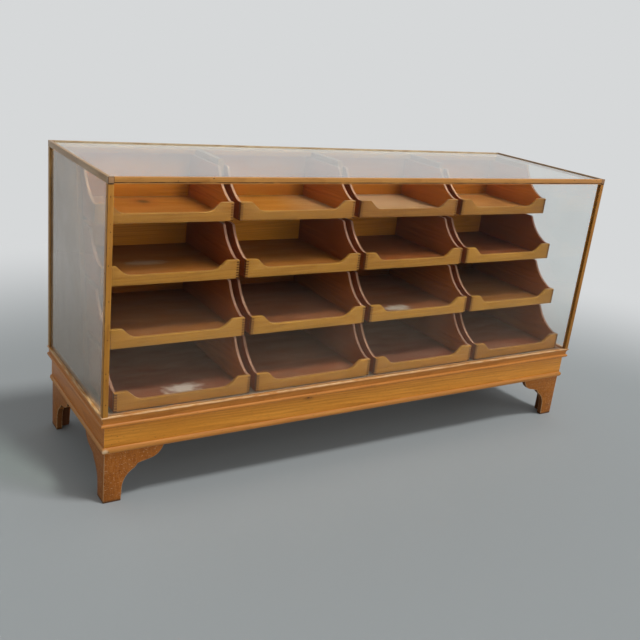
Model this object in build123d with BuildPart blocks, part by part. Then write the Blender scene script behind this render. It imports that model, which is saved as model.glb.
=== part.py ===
from build123d import *
import os

os.makedirs("parts", exist_ok=True)

# Glazed shop counter with sixteen drawers, all sizes in millimetres.
# +X is the customer's right, -Y the customer's side, +Y the shopkeeper's side and +Z up.
# The origin is on the floor, under the middle of the counter's outline.

# Outline of the glazed case
case_width = 1830.0
case_depth = 558.0
case_height = 935.0

# Slender frame and the glass in its grooves
post_size = 16.0
rail_height = 18.0
frame_round = 2.0
pane_thickness = 4.0
pane_inset = 6.0
pane_slack = 0.3
groove_depth = 5.0
top_pane_thickness = 6.0
top_pane_drop = 3.0
top_rebate_width = 7.0

# Base: bracket feet, frieze boards, the bead along their lower edge and the cornice
foot_height = 160.0
foot_inset = 12.0
foot_width = 52.0
foot_reach = 176.0
ankle_height = 40.0
ankle_flare = 2.0
hollow_reach = 38.0
hollow_drop = 61.0
hollow_sagitta = 9.0
shoulder_reach = 48.0
shoulder_drop = 48.0
toe_run = 34.0
toe_drop = 38.0
toe_sagitta = 6.5
glue_block = 25.0
glue_block_lift = 8.0
glue_block_lap = 40.0
frieze_height = 83.0
frieze_board = 20.0
frieze_inset = 10.0
bead_height = 18.0
bead_projection = 6.0
bead_flat = 1.5
cornice_height = 34.0
cornice_overhang = 3.0
cornice_edge = 3.0
cove_depth = 6.0
cove_height = 18.0
cove_hollow = 2.2
astragal_height = 11.0
astragal_soffit = 5.0
glazing_lip = 3.0
floor_recess = 5.5
floor_board = 12.0
bearer_width = 22.0
bearer_height = 30.0

# Carcass behind the glass: side panels, partitions and the shopkeeper's rails
side_panel = 14.0
side_panel_gap = 10.0
partition = 20.0
panel_setback_bottom = 234.0
panel_setback_top = 354.0
rear_rail_height = 20.0
rear_rail_depth = 32.0
top_rear_rail_height = 16.3
runner_width = 12.0
runner_height = 12.0
floor_slip_height = 3.2
stop_width = 25.0
stop_length = 14.0
stop_rise = 2.8
stop_spacing = 300.0

# Drawers
column_count = 4
row_count = 4
side_clearance = 1.25
top_clearance = 1.2
running_gap = 0.3
lowest_setback = 29.0
row_step = 64.0
face_inset = 1.0
front_board = 11.0
side_board = 8.5
back_board = 14.0
back_lap = 7.0
ear_height = 57.0
ear_width = 40.0
lip_height = 28.0
lip_slope = 32.0
ear_round = 8.0
lip_round = 40.0
scoop_start = 22.0
scoop_length = 90.0
scoop_radius = 155.0
scoop_round = 12.0
bottom_board = 5.0
bottom_raise = 3.5
bottom_tongue = 4.0
finger_pairs = 7
joint_slack = 0.1

# Turned knobs on the shopkeeper's side
knob_radius = 17.0
knob_rim_height = 17.0
knob_rim_bulge = 1.5
knob_rim_round = 3.0
knob_throat_radius = 11.0
knob_neck_length = 8.0
knob_neck_hollow = 2.5
knob_foot_radius = 10.0
knob_projection = 26.0
spigot_radius = 5.0
spigot_length = 11.0
spigot_slack = 0.1

# Heights
frieze_top = foot_height + frieze_height
base_top = frieze_top + cornice_height
floor_top = base_top - floor_recess
floor_bottom = floor_top - floor_board
rail_bottom = case_height - rail_height

# Depths, with the outline centred on the origin
overall_depth = case_depth + cornice_overhang + knob_projection - face_inset
case_front = -overall_depth / 2 + cornice_overhang
case_back = case_front + case_depth
half_width = case_width / 2

# Drawer openings between the side panels and partitions
panel_inner_x = half_width - post_size - side_panel_gap - side_panel
opening_width = (2 * panel_inner_x - (column_count - 1) * partition) / column_count
column_pitch = opening_width + partition
column_places = [(i - (column_count - 1) / 2) * column_pitch for i in range(column_count)]
partition_places = [x + column_pitch / 2 for x in column_places[:-1]]
lowest_underside = floor_top + floor_slip_height + running_gap
drawer_zone = rail_bottom - top_rear_rail_height - lowest_underside
rail_and_gap = rear_rail_height + running_gap
drawer_height = (drawer_zone - (row_count - 1) * rail_and_gap) / row_count - top_clearance
row_pitch = drawer_height + top_clearance + rail_and_gap
drawer_width = opening_width - 2 * side_clearance
face_y = case_back - face_inset
back_inner_y = face_y - back_board

# The base's inner face, flush from the feet up to the cornice
base_inner = frieze_inset + frieze_board
foot_board = base_inner - foot_inset


def block(low, high, mode=Mode.ADD):
    size = [b - a for a, b in zip(low, high)]
    middle = [(a + b) / 2 for a, b in zip(low, high)]
    with Locations(tuple(middle)):
        Box(*size, mode=mode)


def write(name, pieces):
    solids = [solid for piece in pieces for solid in piece.solids()]
    group = Compound(solids)
    group.label = name
    export_step(group, f"parts/{name}.step")


# Panes of glass, as their lowest and highest corners
pane_edge_x = half_width - post_size + groove_depth - pane_slack
pane_front_y = case_front + post_size - groove_depth + pane_slack
pane_back_y = case_back - post_size + groove_depth - pane_slack
pane_bottom = base_top - groove_depth
pane_top = rail_bottom + groove_depth - pane_slack
top_pane_low = case_height - top_pane_drop - top_pane_thickness
top_pane_margin = post_size - top_rebate_width + pane_slack
panes = {
    "glass_front": (
        (-pane_edge_x, case_front + pane_inset, pane_bottom),
        (pane_edge_x, case_front + pane_inset + pane_thickness, pane_top),
    ),
    "glass_left": (
        (-half_width + pane_inset, pane_front_y, pane_bottom),
        (-half_width + pane_inset + pane_thickness, pane_back_y, pane_top),
    ),
    "glass_right": (
        (half_width - pane_inset - pane_thickness, pane_front_y, pane_bottom),
        (half_width - pane_inset, pane_back_y, pane_top),
    ),
    "glass_top": (
        (-half_width + top_pane_margin, case_front + top_pane_margin, top_pane_low),
        (half_width - top_pane_margin, case_back - top_pane_margin, top_pane_low + top_pane_thickness),
    ),
}
for name, (low, high) in panes.items():
    with BuildPart() as pane:
        block(low, high)
    pane.part.label = name
    export_step(pane.part, f"parts/{name}.step")


def cut_pane_grooves():
    for pane_name, (pane_low, pane_high) in panes.items():
        floor = pane_low[2]
        ceiling = case_height if pane_name == "glass_top" else pane_high[2] + pane_slack
        groove_low = (pane_low[0] - pane_slack, pane_low[1] - pane_slack, floor)
        groove_high = (pane_high[0] + pane_slack, pane_high[1] + pane_slack, ceiling)
        block(groove_low, groove_high, mode=Mode.SUBTRACT)


# Corner posts, each standing on the cornice under the end of a side rail
for side_name, side in (("left", -1), ("right", 1)):
    for end_name, end_y, inward in (("front", case_front, 1), ("back", case_back, -1)):
        corner_x = side * half_width
        with BuildPart() as post:
            with BuildSketch(Plane.XY.offset(base_top)) as post_section:
                with Locations((corner_x - side * post_size / 2, end_y + inward * post_size / 2)):
                    Rectangle(post_size, post_size)
                corner = post_section.vertices().sort_by_distance((corner_x, end_y))[0]
                fillet(corner, frame_round)
            extrude(amount=rail_bottom - base_top)
            cut_pane_grooves()
        post.part.label = f"post_{end_name}_{side_name}"
        export_step(post.part, f"parts/post_{end_name}_{side_name}.step")

# Side rails of the top frame run the full depth, the front and back rails fit between them
for side_name, side in (("left", -1), ("right", 1)):
    rail_outer_x = side * half_width
    rail_inner_x = rail_outer_x - side * post_size
    with BuildPart() as side_rail:
        block(
            (min(rail_outer_x, rail_inner_x), case_front, rail_bottom),
            (max(rail_outer_x, rail_inner_x), case_back, case_height),
        )
        outer_edge = side_rail.edges().filter_by(Axis.Y).group_by(Axis.Z)[-1]
        fillet(outer_edge.sort_by(Axis.X)[0 if side < 0 else -1], frame_round)
        cut_pane_grooves()
    side_rail.part.label = f"top_rail_{side_name}"
    export_step(side_rail.part, f"parts/top_rail_{side_name}.step")

cross_rail_x = half_width - post_size
for end_name, end_y, inward in (("front", case_front, 1), ("back", case_back, -1)):
    inner_y = end_y + inward * post_size
    with BuildPart() as cross_rail:
        block(
            (-cross_rail_x, min(end_y, inner_y), rail_bottom),
            (cross_rail_x, max(end_y, inner_y), case_height),
        )
        outer_edge = cross_rail.edges().filter_by(Axis.X).group_by(Axis.Z)[-1]
        fillet(outer_edge.sort_by(Axis.Y)[0 if inward > 0 else -1], frame_round)
        cut_pane_grooves()
    cross_rail.part.label = f"top_rail_{end_name}"
    export_step(cross_rail.part, f"parts/top_rail_{end_name}.step")

# Section of the cornice: x is outwards from the case's outline, y is height
lip_inner = -(pane_inset + pane_thickness + pane_slack + glazing_lip)
cove_low = base_top - cornice_edge - cove_height
astragal_x = cornice_overhang - cove_depth
with BuildSketch() as cornice_section:
    with BuildLine():
        Polyline(
            (astragal_x, frieze_top + astragal_height),
            (astragal_x, cove_low),
        )
        cove_top = (cornice_overhang, base_top - cornice_edge)
        SagittaArc((astragal_x, cove_low), cove_top, cove_hollow)
        Polyline(
            cove_top,
            (cornice_overhang, base_top),
            (lip_inner, base_top),
            (lip_inner, floor_top),
            (-base_inner, floor_top),
            (-base_inner, frieze_top),
            (astragal_soffit - frieze_inset, frieze_top),
        )
        ThreePointArc(
            (astragal_soffit - frieze_inset, frieze_top),
            (astragal_x + astragal_height / 2, frieze_top + astragal_height / 2),
            (astragal_x, frieze_top + astragal_height),
        )
    make_face()

# Section of the bead that covers the joint between the frieze and the feet
with BuildSketch() as bead_section:
    with BuildLine():
        bead_low = (bead_flat - frieze_inset, foot_height)
        bead_high = (bead_flat - frieze_inset, foot_height + bead_height)
        ThreePointArc(bead_low, (bead_projection - frieze_inset, foot_height + bead_height / 2), bead_high)
        Polyline(
            bead_high,
            (-frieze_inset, foot_height + bead_height),
            (-frieze_inset, foot_height),
            bead_low,
        )
    make_face()

# Planes in which local x points outwards and local y up, and the mitres at the front corners
front_run = Plane(origin=(0, case_front, 0), x_dir=(0, -1, 0), z_dir=(-1, 0, 0))
left_run = Plane(origin=(-half_width, case_front, 0), x_dir=(-1, 0, 0), z_dir=(0, 1, 0))
right_run = Plane(origin=(half_width, case_front, 0), x_dir=(1, 0, 0), z_dir=(0, -1, 0))
left_mitre = Plane(origin=(-half_width, case_front, 0), z_dir=(1, -1, 0))
right_mitre = Plane(origin=(half_width, case_front, 0), z_dir=(-1, -1, 0))


def moulding_lengths(section, back_end):
    with BuildPart() as front_length:
        with BuildSketch(front_run):
            add(section)
        extrude(amount=half_width + cornice_overhang, both=True)
        split(bisect_by=left_mitre)
        split(bisect_by=right_mitre)
        cut_pane_grooves()
    with BuildPart() as left_length:
        with BuildSketch(left_run):
            add(section)
        extrude(amount=back_end - case_front)
        with BuildSketch(left_run):
            add(section)
        extrude(amount=-cornice_overhang)
        split(bisect_by=left_mitre, keep=Keep.BOTTOM)
        cut_pane_grooves()
    with BuildPart() as right_length:
        add(mirror(left_length.part, about=Plane.YZ, mode=Mode.PRIVATE))
    return [front_length.part, left_length.part, right_length.part]


write("cornice_moulding", moulding_lengths(cornice_section.sketch, case_back))
frieze_back_y = case_back - frieze_inset
write("base_bead", moulding_lengths(bead_section.sketch, frieze_back_y))

# Frieze boards, mitred at the front, with the back board and its sill between the side boards
frieze_x = half_width - frieze_inset
inner_x = half_width - base_inner
frieze_front_y = case_front + frieze_inset
inner_front_y = case_front + base_inner
inner_back_y = case_back - base_inner
with BuildPart() as frieze_front:
    with BuildSketch(Plane.XY.offset(foot_height)):
        with BuildLine():
            Polyline(
                (-frieze_x, frieze_front_y),
                (frieze_x, frieze_front_y),
                (inner_x, inner_front_y),
                (-inner_x, inner_front_y),
                close=True,
            )
        make_face()
    extrude(amount=frieze_height)
with BuildPart() as frieze_left:
    with BuildSketch(Plane.XY.offset(foot_height)):
        with BuildLine():
            Polyline(
                (-frieze_x, frieze_front_y),
                (-inner_x, inner_front_y),
                (-inner_x, frieze_back_y),
                (-frieze_x, frieze_back_y),
                close=True,
            )
        make_face()
    extrude(amount=frieze_height)
with BuildPart() as frieze_right:
    add(mirror(frieze_left.part, about=Plane.YZ, mode=Mode.PRIVATE))
with BuildPart() as frieze_back:
    block((-inner_x, inner_back_y, foot_height), (inner_x, frieze_back_y, frieze_top))
write("base_frieze", [frieze_front.part, frieze_left.part, frieze_right.part, frieze_back.part])

with BuildPart() as back_sill:
    block((-inner_x, inner_back_y, frieze_top), (inner_x, case_back, floor_top))
back_sill.part.label = "back_sill"
export_step(back_sill.part, "parts/back_sill.step")

# Outline of a bracket: x runs from the outer corner along the base, y is height
with BuildSketch() as bracket_outline:
    with BuildLine():
        ankle = (foot_width + ankle_flare, ankle_height)
        hollow_end = (foot_width + hollow_reach, foot_height - hollow_drop)
        shoulder = (foot_width + shoulder_reach, foot_height - shoulder_drop)
        toe_start = (foot_reach - toe_run, foot_height - toe_drop)
        toe = (foot_reach, foot_height)
        Polyline(toe, (0, foot_height), (0, 0), (foot_width, 0), ankle)
        SagittaArc(ankle, hollow_end, hollow_sagitta)
        Polyline(hollow_end, shoulder, toe_start)
        SagittaArc(toe_start, toe, -toe_sagitta)
    make_face()

# Bracket feet: two mitred boards and a glue block in their corner
for side_name, side in (("left", -1), ("right", 1)):
    for end_name, end_y, inward in (("front", case_front, 1), ("back", case_back, -1)):
        corner_x = side * (half_width - foot_inset)
        corner_y = end_y + inward * foot_inset
        corner = (corner_x, corner_y, 0)
        with BuildPart() as face_bracket:
            with BuildSketch(Plane(origin=corner, x_dir=(-side, 0, 0), z_dir=(0, side, 0))):
                add(bracket_outline.sketch)
            extrude(amount=foot_board * inward * side)
            split(bisect_by=Plane(origin=corner, z_dir=(-side, -inward, 0)))
        with BuildPart() as side_bracket:
            with BuildSketch(Plane(origin=corner, x_dir=(0, inward, 0), z_dir=(inward, 0, 0))):
                add(bracket_outline.sketch)
            extrude(amount=-foot_board * inward * side)
            split(bisect_by=Plane(origin=corner, z_dir=(side, inward, 0)))
        near = foot_board
        far = foot_board + glue_block
        block_x = sorted((corner_x - side * near, corner_x - side * far))
        block_y = sorted((corner_y + inward * near, corner_y + inward * far))
        with BuildPart() as corner_block:
            block(
                (block_x[0], block_y[0], glue_block_lift),
                (block_x[1], block_y[1], foot_height + glue_block_lap),
            )
        write(f"foot_{end_name}_{side_name}", [face_bracket.part, side_bracket.part, corner_block.part])

# Floor of the case and the bearers under it
with BuildPart() as case_floor:
    block((-inner_x, inner_front_y, floor_bottom), (inner_x, inner_back_y, floor_top))
case_floor.part.label = "case_floor"
export_step(case_floor.part, "parts/case_floor.step")

end_bearer_x = inner_x - bearer_width / 2
with BuildPart() as floor_bearers:
    for place in [-end_bearer_x] + partition_places + [end_bearer_x]:
        block(
            (place - bearer_width / 2, inner_front_y, floor_bottom - bearer_height),
            (place + bearer_width / 2, inner_back_y, floor_bottom),
        )
floor_bearers.part.label = "floor_bearers"
export_step(floor_bearers.part, "parts/floor_bearers.step")

# Upright panels with a raking front edge, seen from the side
panel_front_bottom = case_front + panel_setback_bottom
panel_front_top = case_front + panel_setback_top
with BuildSketch() as panel_outline:
    with BuildLine():
        Polyline(
            (panel_front_bottom, floor_top),
            (case_back, floor_top),
            (case_back, rail_bottom),
            (panel_front_top, rail_bottom),
            close=True,
        )
    make_face()

with BuildPart() as partitions:
    for place in partition_places:
        with BuildSketch(Plane.YZ.offset(place - partition / 2)):
            add(panel_outline.sketch)
        extrude(amount=partition)
partitions.part.label = "partitions"
export_step(partitions.part, "parts/partitions.step")

for side_name, side in (("left", -1), ("right", 1)):
    outer_x = side * (panel_inner_x + side_panel)
    post_inner_x = side * (half_width - post_size)
    with BuildPart() as end_panel:
        with BuildSketch(Plane.YZ.offset(min(side * panel_inner_x, outer_x))):
            add(panel_outline.sketch)
        extrude(amount=side_panel)
    with BuildPart() as rear_stile:
        block(
            (min(outer_x, post_inner_x), case_back - post_size, floor_top),
            (max(outer_x, post_inner_x), case_back, rail_bottom),
        )
    write(f"side_panel_{side_name}", [end_panel.part, rear_stile.part])


def panel_front_at(height):
    rise = (height - floor_top) / (rail_bottom - floor_top)
    return panel_front_bottom + rise * (panel_front_top - panel_front_bottom)


# Rails between the openings on the shopkeeper's side, runners under the drawers and stops
rail_front_y = case_back - rear_rail_depth
upper_undersides = [lowest_underside + i * row_pitch for i in range(1, row_count)]
with BuildPart() as rear_rails:
    for place in column_places:
        low_x = place - opening_width / 2
        high_x = place + opening_width / 2
        for underside in upper_undersides:
            rail_top = underside - running_gap
            block((low_x, rail_front_y, rail_top - rear_rail_height), (high_x, case_back, rail_top))
        block((low_x, rail_front_y, rail_bottom - top_rear_rail_height), (high_x, case_back, rail_bottom))
rear_rails.part.label = "rear_rails"
export_step(rear_rails.part, "parts/rear_rails.step")

with BuildPart() as runners:
    for place in column_places:
        for side in (-1, 1):
            outer_x = place + side * opening_width / 2
            inner_edge = outer_x - side * runner_width
            low_x = min(outer_x, inner_edge)
            high_x = max(outer_x, inner_edge)
            for underside in upper_undersides:
                runner_top = underside - running_gap
                runner_front = panel_front_at(runner_top)
                block((low_x, runner_front, runner_top - runner_height), (high_x, rail_front_y, runner_top))
            slip_top = lowest_underside - running_gap
            block((low_x, panel_front_at(slip_top), floor_top), (high_x, case_back, slip_top))
runners.part.label = "runners"
export_step(runners.part, "parts/runners.step")

stop_back_y = back_inner_y - running_gap
with BuildPart() as drawer_stops:
    for place in column_places:
        for side in (-1, 1):
            stop_x = place + side * stop_spacing / 2
            for underside in [lowest_underside] + upper_undersides:
                seat = floor_top if underside == lowest_underside else underside - running_gap
                block(
                    (stop_x - stop_width / 2, stop_back_y - stop_length, seat),
                    (stop_x + stop_width / 2, stop_back_y, underside + stop_rise),
                )
drawer_stops.part.label = "drawer_stops"
export_step(drawer_stops.part, "parts/drawer_stops.step")

# Drawer boards. Rows are numbered from the top, columns from the customer's left.
finger = ear_height / (2 * finger_pairs)
inside_x = drawer_width / 2 - side_board


def bottom_plate(front_face_y, low_z, slack=0.0, mode=Mode.ADD):
    wide_x = inside_x + bottom_tongue + slack
    long_front_y = front_face_y - bottom_tongue - slack
    long_back_y = back_inner_y + bottom_tongue + slack
    high_z = low_z + bottom_board + slack
    block((-wide_x, front_face_y, low_z - slack), (wide_x, back_inner_y, high_z), mode)
    block((-inside_x, long_front_y, low_z - slack), (inside_x, long_back_y, high_z), mode)


for row in range(row_count):
    storey = row_count - 1 - row
    underside = lowest_underside + storey * row_pitch
    front_y = case_front + lowest_setback + storey * row_step
    front_inner_y = front_y + front_board
    side_length = back_inner_y + back_lap - front_y
    bottom_low = underside + bottom_raise

    with BuildPart() as bottom:
        bottom_plate(front_inner_y, bottom_low)

    outer = drawer_width / 2
    ear_end = outer - ear_width
    lip_end = ear_end - lip_slope
    front_plane = Plane(origin=(0, front_y, underside), x_dir=(1, 0, 0), z_dir=(0, -1, 0))
    with BuildPart() as front:
        with BuildSketch(front_plane) as front_outline:
            with BuildLine():
                Polyline(
                    (0, lip_height),
                    (lip_end, lip_height),
                    (ear_end, ear_height),
                    (outer, ear_height),
                    (outer, 0),
                    (0, 0),
                    close=True,
                )
            make_face()
            ear_corner = front_outline.vertices().sort_by_distance((ear_end, ear_height))[0]
            fillet(ear_corner, ear_round)
            lip_corner = front_outline.vertices().sort_by_distance((lip_end, lip_height))[0]
            fillet(lip_corner, lip_round)
            mirror(about=Plane.YZ)
            with Locations((0, (finger_pairs - 0.5) * finger)):
                with GridLocations(drawer_width - side_board - joint_slack, 2 * finger, 2, finger_pairs):
                    Rectangle(side_board + joint_slack, finger + joint_slack, mode=Mode.SUBTRACT)
        extrude(amount=-front_board)
        bottom_plate(front_inner_y, bottom_low, joint_slack, Mode.SUBTRACT)

    sides = []
    for low_x in (-drawer_width / 2, inside_x):
        side_plane = Plane(origin=(low_x, front_y, underside), x_dir=(0, 1, 0), z_dir=(1, 0, 0))
        with BuildPart() as side:
            with BuildSketch(side_plane) as side_outline:
                scoop_end = scoop_start + scoop_length
                with BuildLine():
                    Polyline(
                        (scoop_end, drawer_height),
                        (side_length, drawer_height),
                        (side_length, 0),
                        (0, 0),
                        (0, ear_height),
                        (scoop_start, ear_height),
                    )
                    RadiusArc((scoop_start, ear_height), (scoop_end, drawer_height), -scoop_radius)
                make_face()
                brow = side_outline.vertices().sort_by_distance((scoop_end, drawer_height))[0]
                fillet(brow, scoop_round)
                notch = front_board + joint_slack
                with Locations((notch / 2, (finger_pairs + 0.5) * finger)):
                    with GridLocations(notch, 2 * finger, 1, finger_pairs):
                        Rectangle(notch, finger + joint_slack, mode=Mode.SUBTRACT)
            extrude(amount=side_board)
            bottom_plate(front_inner_y, bottom_low, joint_slack, Mode.SUBTRACT)
        sides.append(side.part)

    knob_height = underside + drawer_height / 2
    with BuildPart() as back:
        block((-drawer_width / 2, back_inner_y, underside), (drawer_width / 2, face_y, underside + drawer_height))
        lap_y = back_inner_y + back_lap + joint_slack
        for low_x, high_x in ((-outer, joint_slack - inside_x), (inside_x - joint_slack, outer)):
            block((low_x, back_inner_y, underside), (high_x, lap_y, underside + drawer_height), Mode.SUBTRACT)
        bottom_plate(front_inner_y, bottom_low, joint_slack, Mode.SUBTRACT)
        spigot_plane = Plane(origin=(0, face_y, knob_height), x_dir=(1, 0, 0), z_dir=(0, -1, 0))
        with BuildSketch(spigot_plane):
            Circle(spigot_radius + spigot_slack)
        extrude(amount=spigot_length, mode=Mode.SUBTRACT)

    with BuildPart() as knob:
        knob_plane = Plane(origin=(0, face_y, knob_height), x_dir=(1, 0, 0), z_dir=(0, 0, 1))
        with BuildSketch(knob_plane) as knob_section:
            with BuildLine():
                crown = (0, knob_projection)
                rim = (knob_radius, knob_rim_height)
                throat = (knob_throat_radius, knob_neck_length)
                Polyline(
                    crown,
                    (0, -spigot_length),
                    (spigot_radius, -spigot_length),
                    (spigot_radius, 0),
                    (knob_foot_radius, 0),
                )
                SagittaArc((knob_foot_radius, 0), throat, knob_neck_hollow)
                SagittaArc(throat, rim, -knob_rim_bulge)
                TangentArc(crown, rim, tangent=(1, 0))
            make_face()
            fillet(knob_section.vertices().sort_by_distance(rim)[0], knob_rim_round)
        revolve(axis=Axis((0, face_y, knob_height), (0, 1, 0)))

    for column, place in enumerate(column_places):
        shift = Location((place, 0, 0))
        name = f"drawer_r{row + 1}c{column + 1}"
        boards = [front.part, sides[0], sides[1], back.part, bottom.part]
        write(f"{name}_box", [shift * board for board in boards])
        write(f"{name}_knob", [shift * knob.part])
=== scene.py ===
import math
import random

import bmesh
import bpy
from mathutils import Matrix, Vector


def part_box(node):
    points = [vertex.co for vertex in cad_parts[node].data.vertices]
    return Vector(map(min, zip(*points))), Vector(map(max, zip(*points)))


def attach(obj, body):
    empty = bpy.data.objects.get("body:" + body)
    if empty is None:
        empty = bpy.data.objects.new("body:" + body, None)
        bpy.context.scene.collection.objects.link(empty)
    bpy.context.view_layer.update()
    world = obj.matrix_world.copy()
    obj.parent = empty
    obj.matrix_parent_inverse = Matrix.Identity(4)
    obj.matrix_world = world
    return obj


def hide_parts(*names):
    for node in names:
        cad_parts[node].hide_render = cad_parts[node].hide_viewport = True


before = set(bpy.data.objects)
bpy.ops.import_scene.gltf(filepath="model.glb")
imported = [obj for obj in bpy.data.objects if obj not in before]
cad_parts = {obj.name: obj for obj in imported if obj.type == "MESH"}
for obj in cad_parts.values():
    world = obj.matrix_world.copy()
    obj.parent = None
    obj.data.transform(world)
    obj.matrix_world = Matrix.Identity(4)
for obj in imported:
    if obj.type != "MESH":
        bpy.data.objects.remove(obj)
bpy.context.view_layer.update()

mm = 0.001
draw = random.Random(1957)        # every board takes its piece of the log from here, in order
axes = {"x": Vector((1, 0, 0)), "y": Vector((0, 1, 0)), "z": Vector((0, 0, 1))}
faceLayers = ("boardTone", "grainEnd", "wearGrimeAndShading", "dustLie")
sides = (("left", -1), ("right", 1))


def cadBox(node):        # corners of a CAD node in millimetres
    low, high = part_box(node)
    return low / mm, high / mm


def drift(reach):
    return draw.uniform(-reach, reach)


# Heights and faces that the boards below share
leftRailLow, leftRailHigh = cadBox("top_rail_left")
caseX = -leftRailLow.x
caseFront = leftRailLow.y
caseBack = leftRailHigh.y
caseTop = leftRailHigh.z
railLow = leftRailLow.z
baseTop = cadBox("cornice_moulding")[1].z
friezeLow, friezeTop = (corner.z for corner in cadBox("base_frieze"))
floorTop = cadBox("case_floor")[1].z
ends = (("front", caseFront, 1), ("back", caseBack, -1))        # name, outer face and the way inward

counter = {
    "post": 16.0,           # frame section
    "postRound": 2.0,
    "paneInset": 5.7,       # groove's near side from the outer face
    "grooveWidth": 4.6,
    "grooveDepth": 5.0,
    "rebateWidth": 7.0,
    "rebateFloor": 9.0,     # below the top
    "railGap": 0.15,        # between a cross rail and the end rails
    "quirk": {"depth": 1.8, "low": 2.2, "high": 4.4, "margin": 0.2},        # above the rail's lower edge
    "friezeInset": 10.0,
    "friezeBoard": 20.0,
    "footInset": 12.0,
}


def srgb(code, alpha=1.0):
    parts = [int(code[i:i + 2], 16) / 255 for i in (1, 3, 5)]
    return tuple(c / 12.92 if c <= 0.04045 else ((c + 0.055) / 1.055) ** 2.4 for c in parts) + (alpha,)


def addNode(tree, kind, links=None, out=0, **settings):        # gives an output, or with None the node
    node = tree.nodes.new(kind)
    for name, value in settings.items():
        setattr(node, name, value)
    for key, value in (links or {}).items():
        if isinstance(value, bpy.types.NodeSocket):
            tree.links.new(value, node.inputs[key])
        else:
            node.inputs[key].default_value = value
    return node if out is None else node.outputs[out]


def calc(tree, operation, *values, space="", **settings):        # of numbers, or of vectors
    return addNode(tree, f"ShaderNode{space}Math", dict(enumerate(values)), operation=operation, **settings)


def newMaterial(name):
    material = bpy.data.materials.new(name)
    material.use_nodes = True
    material.node_tree.nodes.clear()
    return material, material.node_tree


# Finishes. Lengths are in millimetres. Colours are those of pale and deep wood, warm clouds, pores, end
# grain and worn places, the last also used for painted highlights. Grain is the width of a ring, a streak and
# a fibre, and each runs many times longer along the board. Mix says how strongly the three show, and polish
# is the shine, the roughness and the coat of lacquer. Ripple is a width and a share, and a patch is a place,
# its size, how ragged it is, its strength and its colour.
plainWood = {
    "bend": 14.0, "taper": 0.02, "clouds": 0.5, "pores": 0.35, "wear": 1.0, "patchy": 0.25,
    "endShare": 0.75, "spread": 0.10, "hues": 0.004, "dust": "#a39684", "relief": 0.25, "patches": [],
    "slowness": (2.2, 7.0, 7.0), "widths": {"clouds": 55.0, "pores": 0.8, "rubbed": 9.0, "blown": 45.0},
    "dustFloor": 0.35, "scuffShare": 0.8, "poreDepth": 0.15,
}
patterns = {        # length over width, detail, and the noise where it starts to show and shows fully
    "streaks": (28, 3.0, 0.3, 0.7), "fibres": (60, 2.0, 0.3, 0.7), "clouds": (190 / 55, 3.0, 0.35, 0.7),
    "pores": (20, 1.0, 0.64, 0.72), "ripple": (1 / 7, 2.0, 0.46, 0.56), "marks": (1.6, 1.0, 0.735, 0.77),
    "scuffs": (2.5, 4.0, 0.60, 0.70), "rubbed": (40 / 9, 3.0, 0.35, 0.6),
    "blown": (120 / 45, 5.0, 0.35, 0.65),
}
lateWood = (0.35, 0.93)        # where in a year's growth the dark part starts and is darkest


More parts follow.
